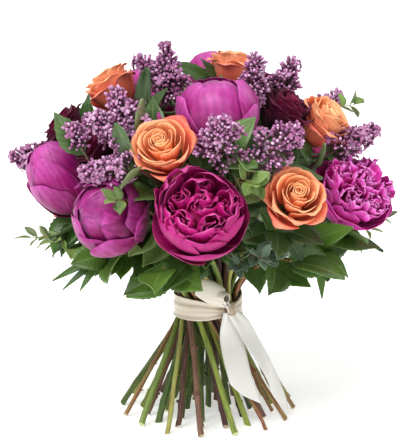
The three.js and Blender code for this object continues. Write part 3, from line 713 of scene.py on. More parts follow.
def panicle(flowers, twigs, base, axis, length, radius, rand, bare):
    """A lilac panicle: side twigs round a main one, above its bare share, each with sprays of buds
    that point outwards, and a few open florets among them."""
    spine = length * SPINE_SHARE
    line = base + axis * np.linspace(0, spine, 9)[:, None]
    twigs.tube(line, np.linspace(1.2, 0.5, 9), 6, (0.5, 0.4, 1.0))
    axes = axes_about(axis, rand.uniform(0, 6))
    sprays = [umbel(line[-1], axis, *TIP_SPRAY, rand)]
    for i in range(BRANCHES):
        share = (i + 0.4) / BRANCHES
        if share < bare:
            continue
        turn = i * GOLDEN
        swell = math.sin(math.pi * (0.2 + 0.6 * share)) ** 0.7
        outline = radius * swell * (1.25 - 0.75 * share) * rand.uniform(0.8, 1.25) - BUD_REACH
        outline = max(1.5, outline)
        rise = 0.3 + 1.5 * share**1.4
        aim = unit(math.cos(turn) * axes[0] + math.sin(turn) * axes[1] + rise * axes[2])
        start = base + axis * spine * share
        end = start + aim * outline
        if outline > 3:
            twigs.tube(np.linspace(start, end, 3), [0.6, 0.5, 0.35], 4, (rand.uniform(), 0.4, 1.0))
        for place, count, spreading in SPRAYS:
            if outline >= 4 or place == 1:
                sprays.append(umbel(start + (end - start) * place, aim, count, spreading, rand))
    aims, bases = (np.concatenate(parts) for parts in zip(*sprays))
    count = len(aims)
    sizes = rand.uniform(*BUD_LENGTHS, count)
    traits = np.column_stack([rand.uniform(size=count), rand.uniform(size=count) ** 2, np.ones(count)])
    opened = rand.uniform(size=count) < OPEN_SHARE
    for template, chosen, scale in ((BUD, ~opened, 1.0), (FLORET, opened, 1.1)):
        lengths = sizes[chosen] * scale
        scatter(flowers, template, bases[chosen], aims[chosen], lengths, traits[chosen], rand)


# ---------------------------------------------------------------- leaves and stems

LEAF_FORMS = {
    # grid across and along, where the blade is widest, stalk's share, teeth, fold along the midrib
    "broad": (7, 23, 0.72, 0.12, 0.035, 0.2),
    "rose": (7, 15, 0.78, 0.16, 0.05, 0.24),
    "heart": (5, 15, 0.58, 0.22, 0.0, 0.2),
    "lance": (5, 13, 0.85, 0.1, 0.0, 0.3),
    "strap": (5, 17, 0.9, 0.05, 0.0, 0.4),
    "round": (5, 11, 0.75, 0.08, 0.0, 0.15),
}
PLAIN_VEINED = ("lance", "strap")


def leaf(shape, root, ahead, face, length, width, rand, droop=0.12, form="broad"):
    """A leaf on its stalk: a thin blade folded along its midrib, with a wavy or toothed edge."""
    across, along, widest, stalk, teeth, fold = LEAF_FORMS[form]
    side = unit(np.cross(ahead, face))
    up = unit(np.cross(side, ahead))
    u, v = grid_of(across, along)
    blade = np.clip((v - stalk) / (1 - stalk), 0, 1)
    outline = np.sin(np.pi * blade**widest) ** 0.9 * (1 - 0.25 * np.clip((blade - 0.75) / 0.25, 0, 1))
    tooth = np.where(np.arange(along) % 2, 1, -1) * (np.abs(u) > 0.9)
    sideways = u * (0.5 + width / 2 * outline * (1 + teeth * tooth))
    phase = rand.uniform(0, ANY_TURN, 3)
    wave = 0.04 * width * np.sin(8 * blade + phase[0]) * u * np.abs(u)
    wave = wave + 0.06 * width * np.sin(3.1 * blade + phase[1]) * u
    rib = -0.5 * np.exp(-((u / 0.15) ** 2))
    lift = fold * np.abs(sideways) - droop * length * v * v + (wave + rib) * (blade > 0)
    bend = 0.08 * length * np.sin(phase[2]) * v * v
    grid = np.stack([v * length, sideways + bend, lift], axis=-1) @ np.array([ahead, side, up]) + root
    veined = 0.0 if form in PLAIN_VEINED else 1.0
    shape.sheet(grid, LEAF_THICKNESS, (u, blade, width), (rand.uniform(), veined, 1.0))


def outward_bearing(point):
    """The bearing at which a point lies from the bouquet's axis."""
    return 90 + math.degrees(math.atan2(point[1], point[0]))


def leaf_on_stem(shape, stem, at, bearing, climb, length, width, form="broad", outwards=1.0):
    """A leaf that grows from a stem, at a share of the way from the bundle to the flower. Its face is
    turned up and out from the bouquet, or less far round from the front than that."""
    root = stem.bend(at)
    out = (outward_bearing(root) + 180) % 360 - 180
    face = UP * 0.55 + direction(out * outwards, 0) * 0.85
    leaf(shape, root, direction(bearing, climb), unit(face), length, width, stem.random, form=form)


# The branches' leaves: share of the bend, turn from the outward bearing, climb, length and width. A
# branch with leaves among the shown ones has the first three only, or two where the front is full.
LEMON_LEAVES = [
    (0.99, 8, 2, 62, 36),
    (0.84, 48, -6, 58, 34),
    (0.72, -44, -14, 60, 36),
    (0.5, 6, -26, 56, 32),
    (0.6, 62, -18, 50, 30),
    (0.38, -30, -22, 44, 26),
]
WITHOUT_END_LEAF = "lemon_leaf_front_left"

# How far round the shown leaves face, against the bearing that they grow at.
SHOWN_FACING = 0.4
# The leaves that show best from the front, by the stem that they grow from. Each has its own share of
# the bend, bearing, climb, length, width and form.
SHOWN_LEAVES = {
    "peony_bud_left": [(0.9, -46, -40, 59, 40, "broad"), (0.8, -34, -25, 59, 34, "broad")],
    "lemon_leaf_front_left": [
        (0.95, -61, -4, 42, 31, "broad"),
        (0.85, -38, -31, 34, 28, "broad"),
        (1, -82, -21, 60, 7, "lance"),
        (1, -58, -40, 45, 7, "lance"),
        (1, -68, -29, 56, 6, "lance"),
        (0.75, -10, -19, 36, 24, "broad"),
        (0.6, 35, 9, 59, 20, "broad"),
    ],
    "myrtle_sprig_front_left": [
        (0.65, -59, -39, 46, 32, "broad"),
        (0.45, 21, -69, 25, 22, "broad"),
        (0.5, -44, -23, 49, 28, "broad"),
    ],
    "lemon_leaf_front": [(0.7, -74, -21, 58, 38, "broad")],
    "peony_open_front": [(0.55, -58, -35, 36, 26, "broad")],
    "rose_orange_front_right": [
        (0.32, 23, -34, 44, 26, "broad"),
        (0.8, 59, -60, 45, 20, "broad"),
        (0.7, -32, 44, 37, 26, "broad"),
        (0.5, -12, 37, 64, 22, "broad"),
        (0.7, -47, -3, 44, 22, "broad"),
        (0.52, -16, -14, 50, 20, "broad"),
        (0.55, -31, -11, 52, 12, "lance"),
    ],
    "lemon_leaf_front_right": [(0.55, 57, -13, 54, 32, "broad"), (0.85, 103, -16, 41, 24, "broad")],
    "lemon_leaf_right": [
        (0.8, 33, 3, 66, 20, "broad"),
        (0.76, 44, 31, 71, 24, "broad"),
        (0.95, 15, -54, 55, 10, "strap"),
        (1, 64, -39, 44, 11, "strap"),
    ],
    "peony_bud_front_left": [(0.5, -20, -9, 68, 32, "broad"), (0.65, -2, -25, 44, 24, "broad")],
    "myrtle_sprig_right": [(0.9, 45, -49, 35, 15, "lance")],
    "rose_red_far_left": [(0.95, -21, 76, 55, 24, "rose")],
    "rose_red_crown_left": [(0.95, 3, 68, 69, 25, "rose"), (1, 26, 48, 64, 14, "round")],
    "rose_orange_crown": [
        (1, -74, 38, 70, 19, "rose"),
        (0.95, -51, 57, 54, 18, "rose"),
        (1, -47, 25, 47, 20, "rose"),
    ],
    "lilac_front_right": [(0.9, 117, 69, 45, 24, "heart"), (0.95, 93, -3, 70, 17, "rose")],
    "rose_red_right": [(0.95, 39, 25, 55, 18, "rose")],
    "lilac_right": [
        (0.85, 21, 36, 43, 16, "round"),
        (0.85, -37, 45, 41, 22, "heart"),
        (0.9, 108, 18, 36, 28, "heart"),
    ],
    "rose_orange_right": [(0.8, 39, 23, 58, 26, "rose"), (0.8, 18, 30, 57, 24, "rose")],
    "myrtle_sprig_front_right": [(0.8, 77, -9, 30, 19, "round")],
    "lilac_left": [(1, -86, 54, 58, 25, "rose")],
    "myrtle_sprig_left": [(0.8, -23, -1, 48, 28, "broad")],
}

# How many leaves stand round under each kind of flower, with their length, width and form.
COLLARS = {
    "peony_open": (5, 74, 27, "rose"),
    "peony_ruffled": (5, 72, 27, "rose"),
    "peony_bud": (4, 66, 25, "rose"),
    "rose_orange": (3, 56, 29, "rose"),
    "rose_red": (3, 54, 28, "rose"),
    "lilac": (3, 56, 34, "heart"),
}
# Where they may grow: shares of the bend, degrees between tries and least degrees between leaves.
COLLAR_SHARES = (0.72, 0.84, 0.93)
COLLAR_STEP = 24
COLLAR_APART = 50
# How far into a neighbour a leaf may reach, and the depth from which on it is smaller.
COLLAR_DEEP, COLLAR_TIGHT = -5, -2

in_flower = [stem for stem in stems if stem.kind in COLLARS]
flower_middles = np.array([stem.middle for stem in in_flower])
flower_sizes = np.array([stem.size for stem in in_flower])


def room_for(points, owner):
    """How far the points keep from every flower but the owner's own; less than nothing is inside."""
    others = np.array([stem is not owner for stem in in_flower])
    away = np.linalg.norm(points[:, None] - flower_middles[None, others], axis=-1) - flower_sizes[others]
    return away.min()


def collar(shape, stem):
    """Leaves that grow up round a flower from just under it, wherever its neighbours leave room."""
    rand = stem.random
    count, length, width, form = COLLARS[stem.kind]
    tries = []
    for at in COLLAR_SHARES:
        for turn in np.arange(0, 360, COLLAR_STEP) + rand.uniform(0, COLLAR_STEP):
            root = stem.bend(at)
            ahead = unit(stem.bend(at + 0.02) - root)
            axes = axes_about(ahead, math.radians(turn))
            aim = unit(ahead * rand.uniform(0.5, 0.85) + axes[0] * 0.8)
            line = root + aim * length * np.linspace(0.45, 1, 5)[:, None]
            own = np.linalg.norm(line - stem.middle, axis=1).min() - 0.94 * stem.size
            room = min(room_for(line, stem), own)
            tries.append((room + rand.uniform(0, 6), turn, root, aim, ahead))
    tries.sort(key=lambda one: -one[0])
    taken = []
    for room, turn, root, aim, ahead in tries:
        apart = min((abs((turn - other + 180) % 360 - 180) for other in taken), default=180)
        if len(taken) == count or room < COLLAR_DEEP or apart < COLLAR_APART:
            continue
        taken.append(turn)
        shrink = rand.uniform(0.85, 1.05) * (1.0 if room > COLLAR_TIGHT else 0.8)
        face = unit(ahead + 0.4 * UP)
        leaf(shape, root, aim, face, length * shrink, width * shrink, rand, rand.uniform(0.02, 0.14), form)


# Leaves low on the stems, that fill the bouquet's inside: share of the bend and turn from outwards,
# and the length, width and form of them all.
INNER_LEAVES = [(0.42, -50), (0.55, 55), (0.68, -10)]
INNER_LEAF = (54, 30, "heart")


def inner_leaves(shape, stem):
    """Leaves between the stems, where they don't reach far into a neighbour's flower."""
    for at, turn in INNER_LEAVES:
        root = stem.bend(at)
        bearing = outward_bearing(root) + turn + stem.random.uniform(-20, 20)
        climb = stem.random.uniform(0, 40)
        tip = root + direction(bearing, climb) * 52
        if room_for(np.array([root, (root + tip) / 2, tip]), stem) > -6:
            leaf_on_stem(shape, stem, at, bearing, climb, *INNER_LEAF)


# Side twigs of each sprig: share of the bend, turn from the outward bearing, climb and length.
SPRIG_TWIGS = [(0.86, -38, 0, 30), (1.0, 4, 16, 34), (0.93, 40, 6, 26)]
# How many twigs each sprig has, pairs of leaves on each, the leaves' length and width, and their form.
SPRIG_LEAVES = {
    "olive_sprig_front": (3, 3, 17, 9, "round"),
    "myrtle_sprig_left": (3, 2, 19, 6, "lance"),
    "myrtle_sprig_front_left": (2, 2, 17, 9, "round"),
    "myrtle_sprig_front_right": (3, 2, 19, 10, "round"),
    "myrtle_sprig_right_high": (3, 2, 17, 11, "lance"),
    "myrtle_sprig_right": (3, 2, 15, 7, "lance"),
}


def sprig(shape, bark, stem):
    """Fine twigs at the end of a stem, with small leaves in opposite pairs and one at each tip, where
    the flowers leave room."""
    rand = stem.random
    twigs, pairs, length, width, form = SPRIG_LEAVES[stem.name]
    bearing = outward_bearing(stem.top)
    face = unit(UP + direction(bearing, 0) * 0.8)

    def small_leaf(where, ahead, size, droop):
        if room_for((where + ahead * length * 0.6)[None], stem) >= 2:
            leaf(shape, where, ahead, face, length * size, width * size, rand, droop, form)

    for at, turn, climb, reach in SPRIG_TWIGS[:twigs]:
        root = stem.bend(at)
        aim = direction(bearing + turn + rand.uniform(-8, 8), climb + rand.uniform(-8, 8))
        sag = UP * reach * rand.uniform(0.02, 0.3)
        t = np.linspace(0, 1, 8)[:, None]
        line = root + aim * reach * t - sag * t * t
        bark.tube(line, np.linspace(0.85, 0.4, 8), 6, (rand.uniform(), 0.2, 1.0))
        for i in range(pairs):
            share = 0.35 + 0.65 * (i + 0.5) / pairs
            where = root + aim * reach * share - sag * share * share
            cross = axes_about(aim, rand.uniform(0, 3.14))[0]
            for sign in (-1, 1):
                ahead = unit(cross * sign + aim * rand.uniform(0.6, 1.1))
                small_leaf(where, ahead, rand.uniform(0.8, 1.12), 0.12)
        small_leaf(line[-1], unit(aim + rand.normal(0, 0.1, 3)), 1.0, 0.1)


# A stem's thickness at shares of its length, against its radius.
TAPER = ([0, 0.04, 0.2, 1], [1.12, 1.04, 0.96, 0.72])
# A joint's swelling, against the stem's radius, on lilac and on the rest, and half its length.
LILAC_SWELL, SWELL, SWELL_LENGTH = 0.3, 0.22, 3.2
# How far a stem zigzags at its joints, in millimetres, and its ridges' height against its radius.
CROOK, RIDGE = 0.7, 0.07
# The heights between which there are pruned stubs, and the share of joints that have none.
STUB_LOW, STUB_HIGH = 6, TIE_HEIGHT - 34
SMOOTH_SHARE = 0.35
PRUNED_KINDS = ("lilac", "lemon_leaf", "rose_orange")


def pruned(shape, line, run, joints, radius, rand):
    """Short stubs below the tie, where side shoots were cut off."""
    for joint in joints:
        if rand.uniform() < SMOOTH_SHARE:
            continue
        root = np.array([np.interp(joint, run, line[:, axis]) for axis in range(3)])
        if not STUB_LOW <= root[2] <= STUB_HIGH:
            continue
        along = unit(line[6] - line[2])
        aside = axes_about(along, rand.uniform(0, ANY_TURN))[0]
        end = root + unit(aside + 0.75 * along) * radius * rand.uniform(1.7, 2.4)
        radii = radius * np.array([0.62, 0.56, 0.5, 0.5])
        shape.tube(np.linspace(root, end, 4), radii, 8, (rand.uniform(), 0.6, 1.0))


def bark_tube(shape, stem):
    """The stem itself, from its cut end to the flower, with the slight swellings of its joints."""
    rand = stem.random
    line, run = stem.path()
    radius = np.full(len(run), stem.radius)
    joints = np.arange(rand.uniform(12, stem.joint_space), run[-1], stem.joint_space)
    away = np.clip(np.abs(line[:, 2] - TIE_HEIGHT) / 25 - 0.6, 0, 1)
    swell = LILAC_SWELL if stem.kind == "lilac" else SWELL
    for joint in joints:
        radius = radius * (1 + swell * away * np.exp(-(((run - joint) / SWELL_LENGTH) ** 2)))
    radius = radius * np.interp(run / run[-1], *TAPER) * rand.uniform(0.86, 1.04)
    if stem.kind in FLOWERS:
        radius[-3:] = radius[-3:] * np.array([1.0, 1.15, 1.6])
    aside = axes_about(unit(line[3] - line[0]), rand.uniform(0, ANY_TURN))[0]
    crook = np.interp(run, joints, CROOK * (-1.0) ** np.arange(len(joints))) * away
    line = line + aside * (crook * (line[:, 2] > 4) * (line[:, 2] < TIE_HEIGHT))[:, None]
    ridge_turn = rand.uniform(0, ANY_TURN)
    if stem.kind in PRUNED_KINDS:
        pruned(shape, line, run, joints, stem.radius, np.random.default_rng(len(run)))
    trait = (rand.uniform(), stem.woody, 1.0)
    cut = unit(unit(line[2] - line[0]) + direction(rand.uniform(0, 360), 0) * rand.uniform(0.2, 0.55))
    shape.tube(line, radius, 10, trait, RIDGE * stem.radius, ridge_turn, cut)
    for joint in joints:
        i = int(np.searchsorted(run, joint))
        if away[i] < 0.5 or i < 1 or i > len(run) - 3:
            continue
        ahead = unit(line[i + 1] - line[i - 1])
        cross = axes_about(ahead, rand.uniform(0, ANY_TURN))[0]
        stub = np.linspace(0, rand.uniform(2.0, 4.5), 3)[:, None]
        start = line[i] + cross * radius[i] * 0.6
        radii = stem.radius * rand.uniform(0.3, 0.5) * np.array([1, 0.85, 0.5])
        shape.tube(start + unit(cross + ahead * 0.9) * stub, radii, 6, trait)


# ---------------------------------------------------------------- the ribbon and the twine

OUTER_RING = RING_STEP * (len(RING_SIZES) - 1)
STEM_REACH = 3.2
TWINE_TURNS = 2
TWINE_THICKNESS = 1.3
RIBBON_WIDTH = 27.0
RIBBON_MIDDLE = 111.5
RIBBON_THICKNESS = 0.7
KNOT_BEARING = 32.0
KNOT_RADIUS = 41.5
KNOT_HEIGHT = 116.0
KNOT_THICKNESS = 0.3
# How far a tail's end reaches beyond its middle at one edge, in steps along the tail.
TAIL_SLANT = 8
# How light the satin is painted in each part: 0 is its darkest, warmest painted shade, as on the knot.
BAND_PAINTED_LIGHT, LOOP_PAINTED_LIGHT, KNOT_PAINTED_LIGHT, TAIL_PAINTED_LIGHT = 0.16, 0.42, 0.0, 0.95


def bundle_radius(z):
    """How far out the stems reach at a height."""
    return OUTER_RING * np.hypot(*spread(z)) + STEM_REACH


def polar(bearing, radius, z):
    """The point at a bearing, a distance from the axis and a height."""
    turn = np.radians(np.asarray(bearing, dtype=float) - 90)
    return np.stack(np.broadcast_arrays(radius * np.cos(turn), radius * np.sin(turn), z), axis=-1)


def curve_through(points, count):
    """A smooth line through the given rows, at an even count of stations."""
    points = np.asarray(points, dtype=float)
    t = np.linspace(0, len(points) - 1, count)
    i = np.clip(t.astype(int), 0, len(points) - 2)
    f = (t - i)[:, None]
    before = points[np.clip(i - 1, 0, None)]
    after = points[np.clip(i + 2, None, len(points) - 1)]
    a, b = points[i], points[i + 1]
    square = 2 * before - 5 * a + 4 * b - after
    cube = 3 * a - before - 3 * b + after
    return 0.5 * (2 * a + (b - before) * f + square * f**2 + cube * f**3)


def ribbon(grid, across, run, tone, thickness=RIBBON_THICKNESS):
    """A piece of ribbon over a grid of points, with how far across and along it they lie."""
    shape = Shape()
    # The tone sets how much painted shade the satin shows: low is darker and warmer.
    shape.sheet(grid, thickness, (across, run, 0.0), (tone, 0.5, 1.0))
    return shape


def ribbon_band():
    """The ribbon round the bundle: drawn together at the knot, with creases that run in to it."""
    u, share = grid_of(21, 130)
    near = np.maximum(np.exp(-((share / 0.09) ** 2)), np.exp(-(((1 - share) / 0.11) ** 2)))
    height = RIBBON_MIDDLE + 1.2 + u * RIBBON_WIDTH * 0.42 * (1 - 0.5 * near)
    height = height + 1.2 * np.sin(12.6 * share - 0.6)
    over_twine = bundle_radius(TIE_HEIGHT) + TWINE_THICKNESS + 1.15
    clear = np.maximum(bundle_radius(height) + 0.95, over_twine)
    drift = 0.9 * np.sin(6.28 * share) + 0.5 * np.sin(15 * share + 1)
    crease = np.sin(5.2 * u + 2.2 * drift) + 0.6 * np.sin(11 * u - 3 * drift + 6 * share)
    radius = clear + 1.3 + 0.75 * crease * (0.7 + 0.9 * near) + 1.2 * near
    return ribbon(polar(KNOT_BEARING - 360 * share, radius, height), u, share * 220, BAND_PAINTED_LIGHT)


def tail(rows, ripple, swing=0.0):
    """One hanging end of the ribbon. It lies off the flaring stems, swings clear of them half way down
    and ends in a slanted cut."""
    stations = 44
    table = curve_through(rows, stations)
    beside = bundle_radius(table[:, 1]) + 4.3
    radius = (KNOT_RADIUS + beside + np.hypot(KNOT_RADIUS - beside, 6)) / 2
    clear = swing * np.sin(np.pi * np.linspace(0, 1, stations))
    middle = polar(table[:, 0], radius + clear, table[:, 1])
    side = np.array([direction(bearing + 90 + twist, 0) for bearing, _, twist, _ in table]) - 0.12 * UP
    u, share = grid_of(11, stations)
    t = np.clip(share * (1 + TAIL_SLANT * u * share**3 / stations), 0, 1.2) * (stations - 1)
    ahead = unit(np.gradient(middle, axis=0))
    side = unit(side - ahead * (side * ahead).sum(axis=1, keepdims=True))
    out = np.cross(side, ahead)
    i = np.clip(t.astype(int), 0, stations - 2)
    f = (t - i)[..., None]
    place = middle[i] * (1 - f) + middle[i + 1] * f
    wide = table[i, 3:] * (1 - f) + table[i + 1, 3:] * f
    gather = np.exp(-((share / 0.16) ** 2))
    lift = ripple * np.sin(2.6 * u + 9 * share) * share + 1.3 * gather * np.cos(6 * u)
    grid = place + side[i] * u[..., None] * wide / 2 + out[i] * lift[..., None]
    return ribbon(grid, u, t * 2, TAIL_PAINTED_LIGHT)


def loop(middle, facing, dip, tall, deep, width, turns=1.0):
    """A loop of the bow: from the knot, round a middle given as bearing, radius and height, and back.
    Its sides face along a bearing, tipped down by its dip."""
    knot_middle = polar(KNOT_BEARING, KNOT_RADIUS, KNOT_HEIGHT + 3)
    side = direction(facing, -dip)
    rise = unit(UP - side * side.dot(UP))
    outwards = np.cross(side, rise)
    u, share = grid_of(15, 72)
    angle = np.radians(-80 + 350 * turns * share)
    size = (0.6 + 0.4 * np.cos(1.35 * (u + 0.1))) * (1 - 0.8 * (turns - 1) * share)
    size = size * (1 + 0.05 * np.sin(3 * u + 9 * share))
    around = (size * np.cos(angle) * deep / 2)[..., None]
    up = (size * np.sin(angle) * tall / 2)[..., None]
    across = side * u[..., None] * width
    free = polar(*middle) + across / 2 + outwards * around + rise * up
    held = knot_middle + across * 0.12 + outwards * (1.2 * np.cos(7 * u) + 2 - 3 * share)[..., None]
    ease = np.clip(np.minimum(share, 1 - share) / 0.17, 0, 1)[..., None]
    ease = ease * ease * (3 - 2 * ease)
    return ribbon(held + (free - held) * ease, u, share * 2.6 * (tall + deep), LOOP_PAINTED_LIGHT)


def knot():
    """The knot: a short turn of ribbon pulled tight round the roots of the loops and tails."""
    outwards = direction(KNOT_BEARING, 0)
    level = direction(KNOT_BEARING + 90, 12)
    rise = np.cross(outwards, level)
    u, share = grid_of(45, 40)
    angle = -0.3 + (FULL_TURN - 0.2) * share
    pleat = 0.95 * np.cos(15 * u + 1.8 * np.sin(3 * u + 1) + 2 * np.sin(5 * share)) - 1.8 * u * u
    local = [(6.2 + pleat) * np.cos(angle), (7.4 + pleat) * np.sin(angle), 5.2 * u]
    grid = np.stack(local, axis=-1) @ np.array([outwards, rise, level])
    grid = grid + polar(KNOT_BEARING, KNOT_RADIUS, KNOT_HEIGHT)
    return ribbon(grid, u, share * 40, KNOT_PAINTED_LIGHT, KNOT_THICKNESS)


def twine():
    """Two turns of thin garden twine under the ribbon."""
    shape = Shape()
    turn = np.linspace(0, FULL_TURN * TWINE_TURNS, 150)
    step = 2 * TWINE_THICKNESS
    z = TIE_HEIGHT - step * TWINE_TURNS / 2 + step * (0.25 + 0.5 * turn / FULL_TURN)
    radius = bundle_radius(TIE_HEIGHT) + 0.6 + TWINE_THICKNESS / 2
    line = np.stack([radius * np.cos(turn), radius * np.sin(turn), z], axis=-1)
    shape.tube(line, TWINE_THICKNESS / 2, 8, (0.5, 0.5, 1.0))
    return shape


# ---------------------------------------------------------------- materials


def rgb(red, green, blue):
    """A screen colour, 0 to 255, as linear light."""
    return (*[((c / 255 + 0.055) / 1.055) ** 2.4 if c > 10 else c / 3294 for c in (red, green, blue)], 1.0)


class Value:
    """A number or colour in a material's node tree, which can be reckoned with like a plain number."""

    def __init__(self, look, socket):
        self.look, self.socket = look, socket

    def __add__(self, other):
        return self.look.math("ADD", self, other)

    def __sub__(self, other):
        return self.look.math("SUBTRACT", self, other)

    def __rsub__(self, other):
        return self.look.math("SUBTRACT", other, self)

    def __mul__(self, other):
        return self.look.math("MULTIPLY", self, other)

    def __gt__(self, other):
        return self.look.math("GREATER_THAN", self, other)

    def __abs__(self):
        return self.look.math("ABSOLUTE", self)

    def at_least(self, other):
        return self.look.math("MAXIMUM", self, other)

    def at_most(self, other):
        return self.look.math("MINIMUM", self, other)

    def sine(self):
        return self.look.math("SINE", self)

    def fraction(self):
        return self.look.math("FRACT", self)


class Look:
    """A node material, with short ways to add nodes that read a piece's places and traits. Colours
    are given as three screen values."""

    def __init__(self, name, roughness=0.5, **sockets):
        self.material = bpy.data.materials.new(name)
        self.material.use_nodes = True
        self.tree = self.material.node_tree
        self.shader = self.tree.nodes["Principled BSDF"]
        self.shader.inputs["Roughness"].default_value = roughness
        for socket, value in sockets.items():
            self.shader.inputs[socket.replace("_", " ")].default_value = value

    def node(self, kind, **settings):
        made = self.tree.nodes.new("ShaderNode" + kind)
        for key, value in settings.items():
            setattr(made, key, value)
        return made

    def put(self, socket, value):
        if isinstance(value, Value):
            self.tree.links.new(value.socket, socket)
        else:
            socket.default_value = rgb(*value) if isinstance(value, tuple) else value

    def read(self, name):
        """The three numbers of a mesh attribute."""
        split = self.node("SeparateXYZ")
        self.tree.links.new(self.node("Attribute", attribute_name=name).outputs["Vector"], split.inputs[0])
        return [Value(self, output) for output in split.outputs]

    def math(self, operation, *values):
        made = self.node("Math", operation=operation)
        for socket, value in zip(made.inputs, values):
            self.put(socket, value)
        return Value(self, made.outputs[0])

    def ramp(self, factor, stops):
        made = self.node("ValToRGB")
        elements = made.color_ramp.elements
        while len(elements) < len(stops):
            elements.new(0.5)
        for element, (place, color) in zip(elements, stops.items()):
            element.position = place
            element.color = rgb(*color)
        self.put(made.inputs[0], factor)
        return Value(self, made.outputs[0])

    def mix(self, factor, a, b, blend="MIX"):
        made = self.node("Mix", data_type="RGBA", blend_type=blend)
        for socket, value in ((made.inputs["Factor"], factor), (made.inputs[6], a), (made.inputs[7], b)):
            self.put(socket, value)
        return Value(self, made.outputs[2])

    def shaded(self, color, shade):
        """The colour, as many times as bright as the shade says."""
        tint = self.node("CombineColor")
        for socket in tint.inputs[:3]:
            self.put(socket, shade)
        return self.mix(1.0, color, Value(self, tint.outputs[0]), "MULTIPLY")

    def noise(self, scale, detail=2.0, vector=None):
        made = self.node("TexNoise")
        made.inputs["Scale"].default_value = scale
        made.inputs["Detail"].default_value = detail
        source = vector or self.node("TexCoord").outputs["Object"]
        self.tree.links.new(source, made.inputs["Vector"])
        return Value(self, made.outputs["Fac"])

    def bump(self, height, strength, distance):
        made = self.node("Bump")
        made.inputs["Strength"].default_value = strength
        made.inputs["Distance"].default_value = distance
        self.put(made.inputs["Height"], height)
        self.tree.links.new(made.outputs[0], self.shader.inputs["Normal"])

    def paint(self, color):
        self.put(self.shader.inputs["Base Color"], color)
        return self.material


def petal_look(name, inner, outer, back, pale, veins=0.2, roughness=0.5, tones=0.3, rim=0.0, bare=0.0):
    """A petal: its colours run from a darker base, painted shade where the petals overlap, to a paler rim
    that is partly the petal's own colour and partly painted highlight, inside the flower and on the outer
    petals, with fine veins along it, pale clouds of painted sheen highlight towards the tip, painted
    highlight along its side edges, and a different shade from one petal to the next."""
    look = Look(name, roughness, Sheen_Weight=0.08, Sheen_Roughness=0.4, Specular_IOR_Level=0.25)
    across, along, depth = look.read("place")
    tone, _, upper = look.read("trait")
    # The ramps run from painted shade at the petal's base to a paler rim, partly painted highlight.
    color = look.mix(depth, look.ramp(along, inner), look.ramp(along, outer))
    color = look.mix((1 - upper) * (depth * -bare + 0.75), color, back)
    # Pale clouds of painted sheen highlight, stronger towards the tip.
    cloud = look.ramp(look.noise(42), {0.45: (0, 0, 0), 0.8: (255, 255, 255)})
    color = look.mix(cloud * along * 0.55, color, pale)
    # A painted highlight along the side edges, stronger towards the tip.
    edge = ((abs(across) - 0.82) * 6).at_least(0) * (along * rim)
    color = look.mix(edge.at_most(rim), color, pale)
    vein = (look.noise(70) * 7 + across * 24).sine() * look.noise(200, 3)
    color = look.shaded(color, vein * (0.5 * veins) + (tone * tones + (1 - tones / 2)))
    look.bump(vein, veins, 0.0005)
    return look.paint(color)


def leaf_look(name, dark, light, under, gloss=0.38):
    """A leaf: a pale midrib, paler side veins that curve forwards, and a dull, lighter underside."""
    look = Look(name, gloss, Specular_IOR_Level=0.5)
    across, along, _ = look.read("place")
    tone, veined, upper = look.read("trait")
    side = abs(across)
    ridge = abs((along * 8 - side * 1.9).fraction() - 0.5)
    vein = (1 - (0.5 - ridge) * 9).at_least(0) * veined
    rib = (1 - side * 9).at_least(0)
    lines = rib.at_least(vein * 0.45)
    color = look.ramp(look.noise(45, 3) * 0.6 + tone * 0.55, {0.2: dark, 0.85: light})
    color = look.mix(lines * 0.45, color, under)
    color = look.mix((1 - upper) * 0.6, color, under)
    look.bump(lines * -1, 0.35, 0.0008)
    return look.paint(color)


def bark_look(name, green, brown, cut, rough):
    """A stem: green or woody, streaked along its length, with small pores and a pale cut end."""
    look = Look(name, rough)
    around, along, skin = look.read("place")
    tone, _, _ = look.read("trait")
    grain = look.node("CombineXYZ")
    for socket, value in zip(grain.inputs, (around * 9, along * 0.05, tone * 50)):
        look.put(socket, value)
    streak = look.noise(1.0, 4, grain.outputs[0])
    color = look.ramp(streak + (tone * 0.5 - 0.25), {0.3: green, 0.72: brown})
    spots = look.noise(700) > 0.66
    color = look.mix(spots * 0.35, color, cut)
    color = look.mix(skin, cut, color)
    look.bump(streak + spots * 0.5, 0.4, 0.0006)
    return look.paint(color)


def satin_look():
    """Cream satin ribbon: a fine lengthways rib, soft gloss and woven edges, and painted shade that
    makes the band and the knot darker and warmer than the loops and the tails."""
    look = Look("cream_satin", 0.38, Sheen_Weight=0.4, Sheen_Roughness=0.35, Specular_IOR_Level=0.45)
    across, along, _ = look.read("place")
    tone, _, _ = look.read("trait")
    threads = ((across * 110).sine() + (along * 9).sine()) * 0.5
    # Each part's tone sets its painted shade: low is darker and warmer.
    cloud = look.noise(30) * 0.5 + (threads * 0.04 + tone)
    color = look.ramp(cloud, {0.2: (200, 182, 156), 0.6: (224, 214, 200), 1.0: (238, 236, 231)})
    color = look.mix((abs(across) > 0.93) * 0.35, color, (240, 236, 228))
    look.bump(threads, 0.12, 0.0002)
    return look.paint(color)


def twine_look():
    """Garden twine: two plies wound together, with loose fibres."""
    look = Look("garden_twine", 0.9)
    around, along, _ = look.read("place")
    ply = (around * 12.566 + along * 2.6).sine()
    fibres = look.noise(900, 3)
    color = look.ramp(ply * 0.3 + fibres, {0.2: (92, 72, 44), 0.8: (172, 146, 104)})
    look.bump(ply + fibres, 0.8, 0.0005)
    return look.paint(color)


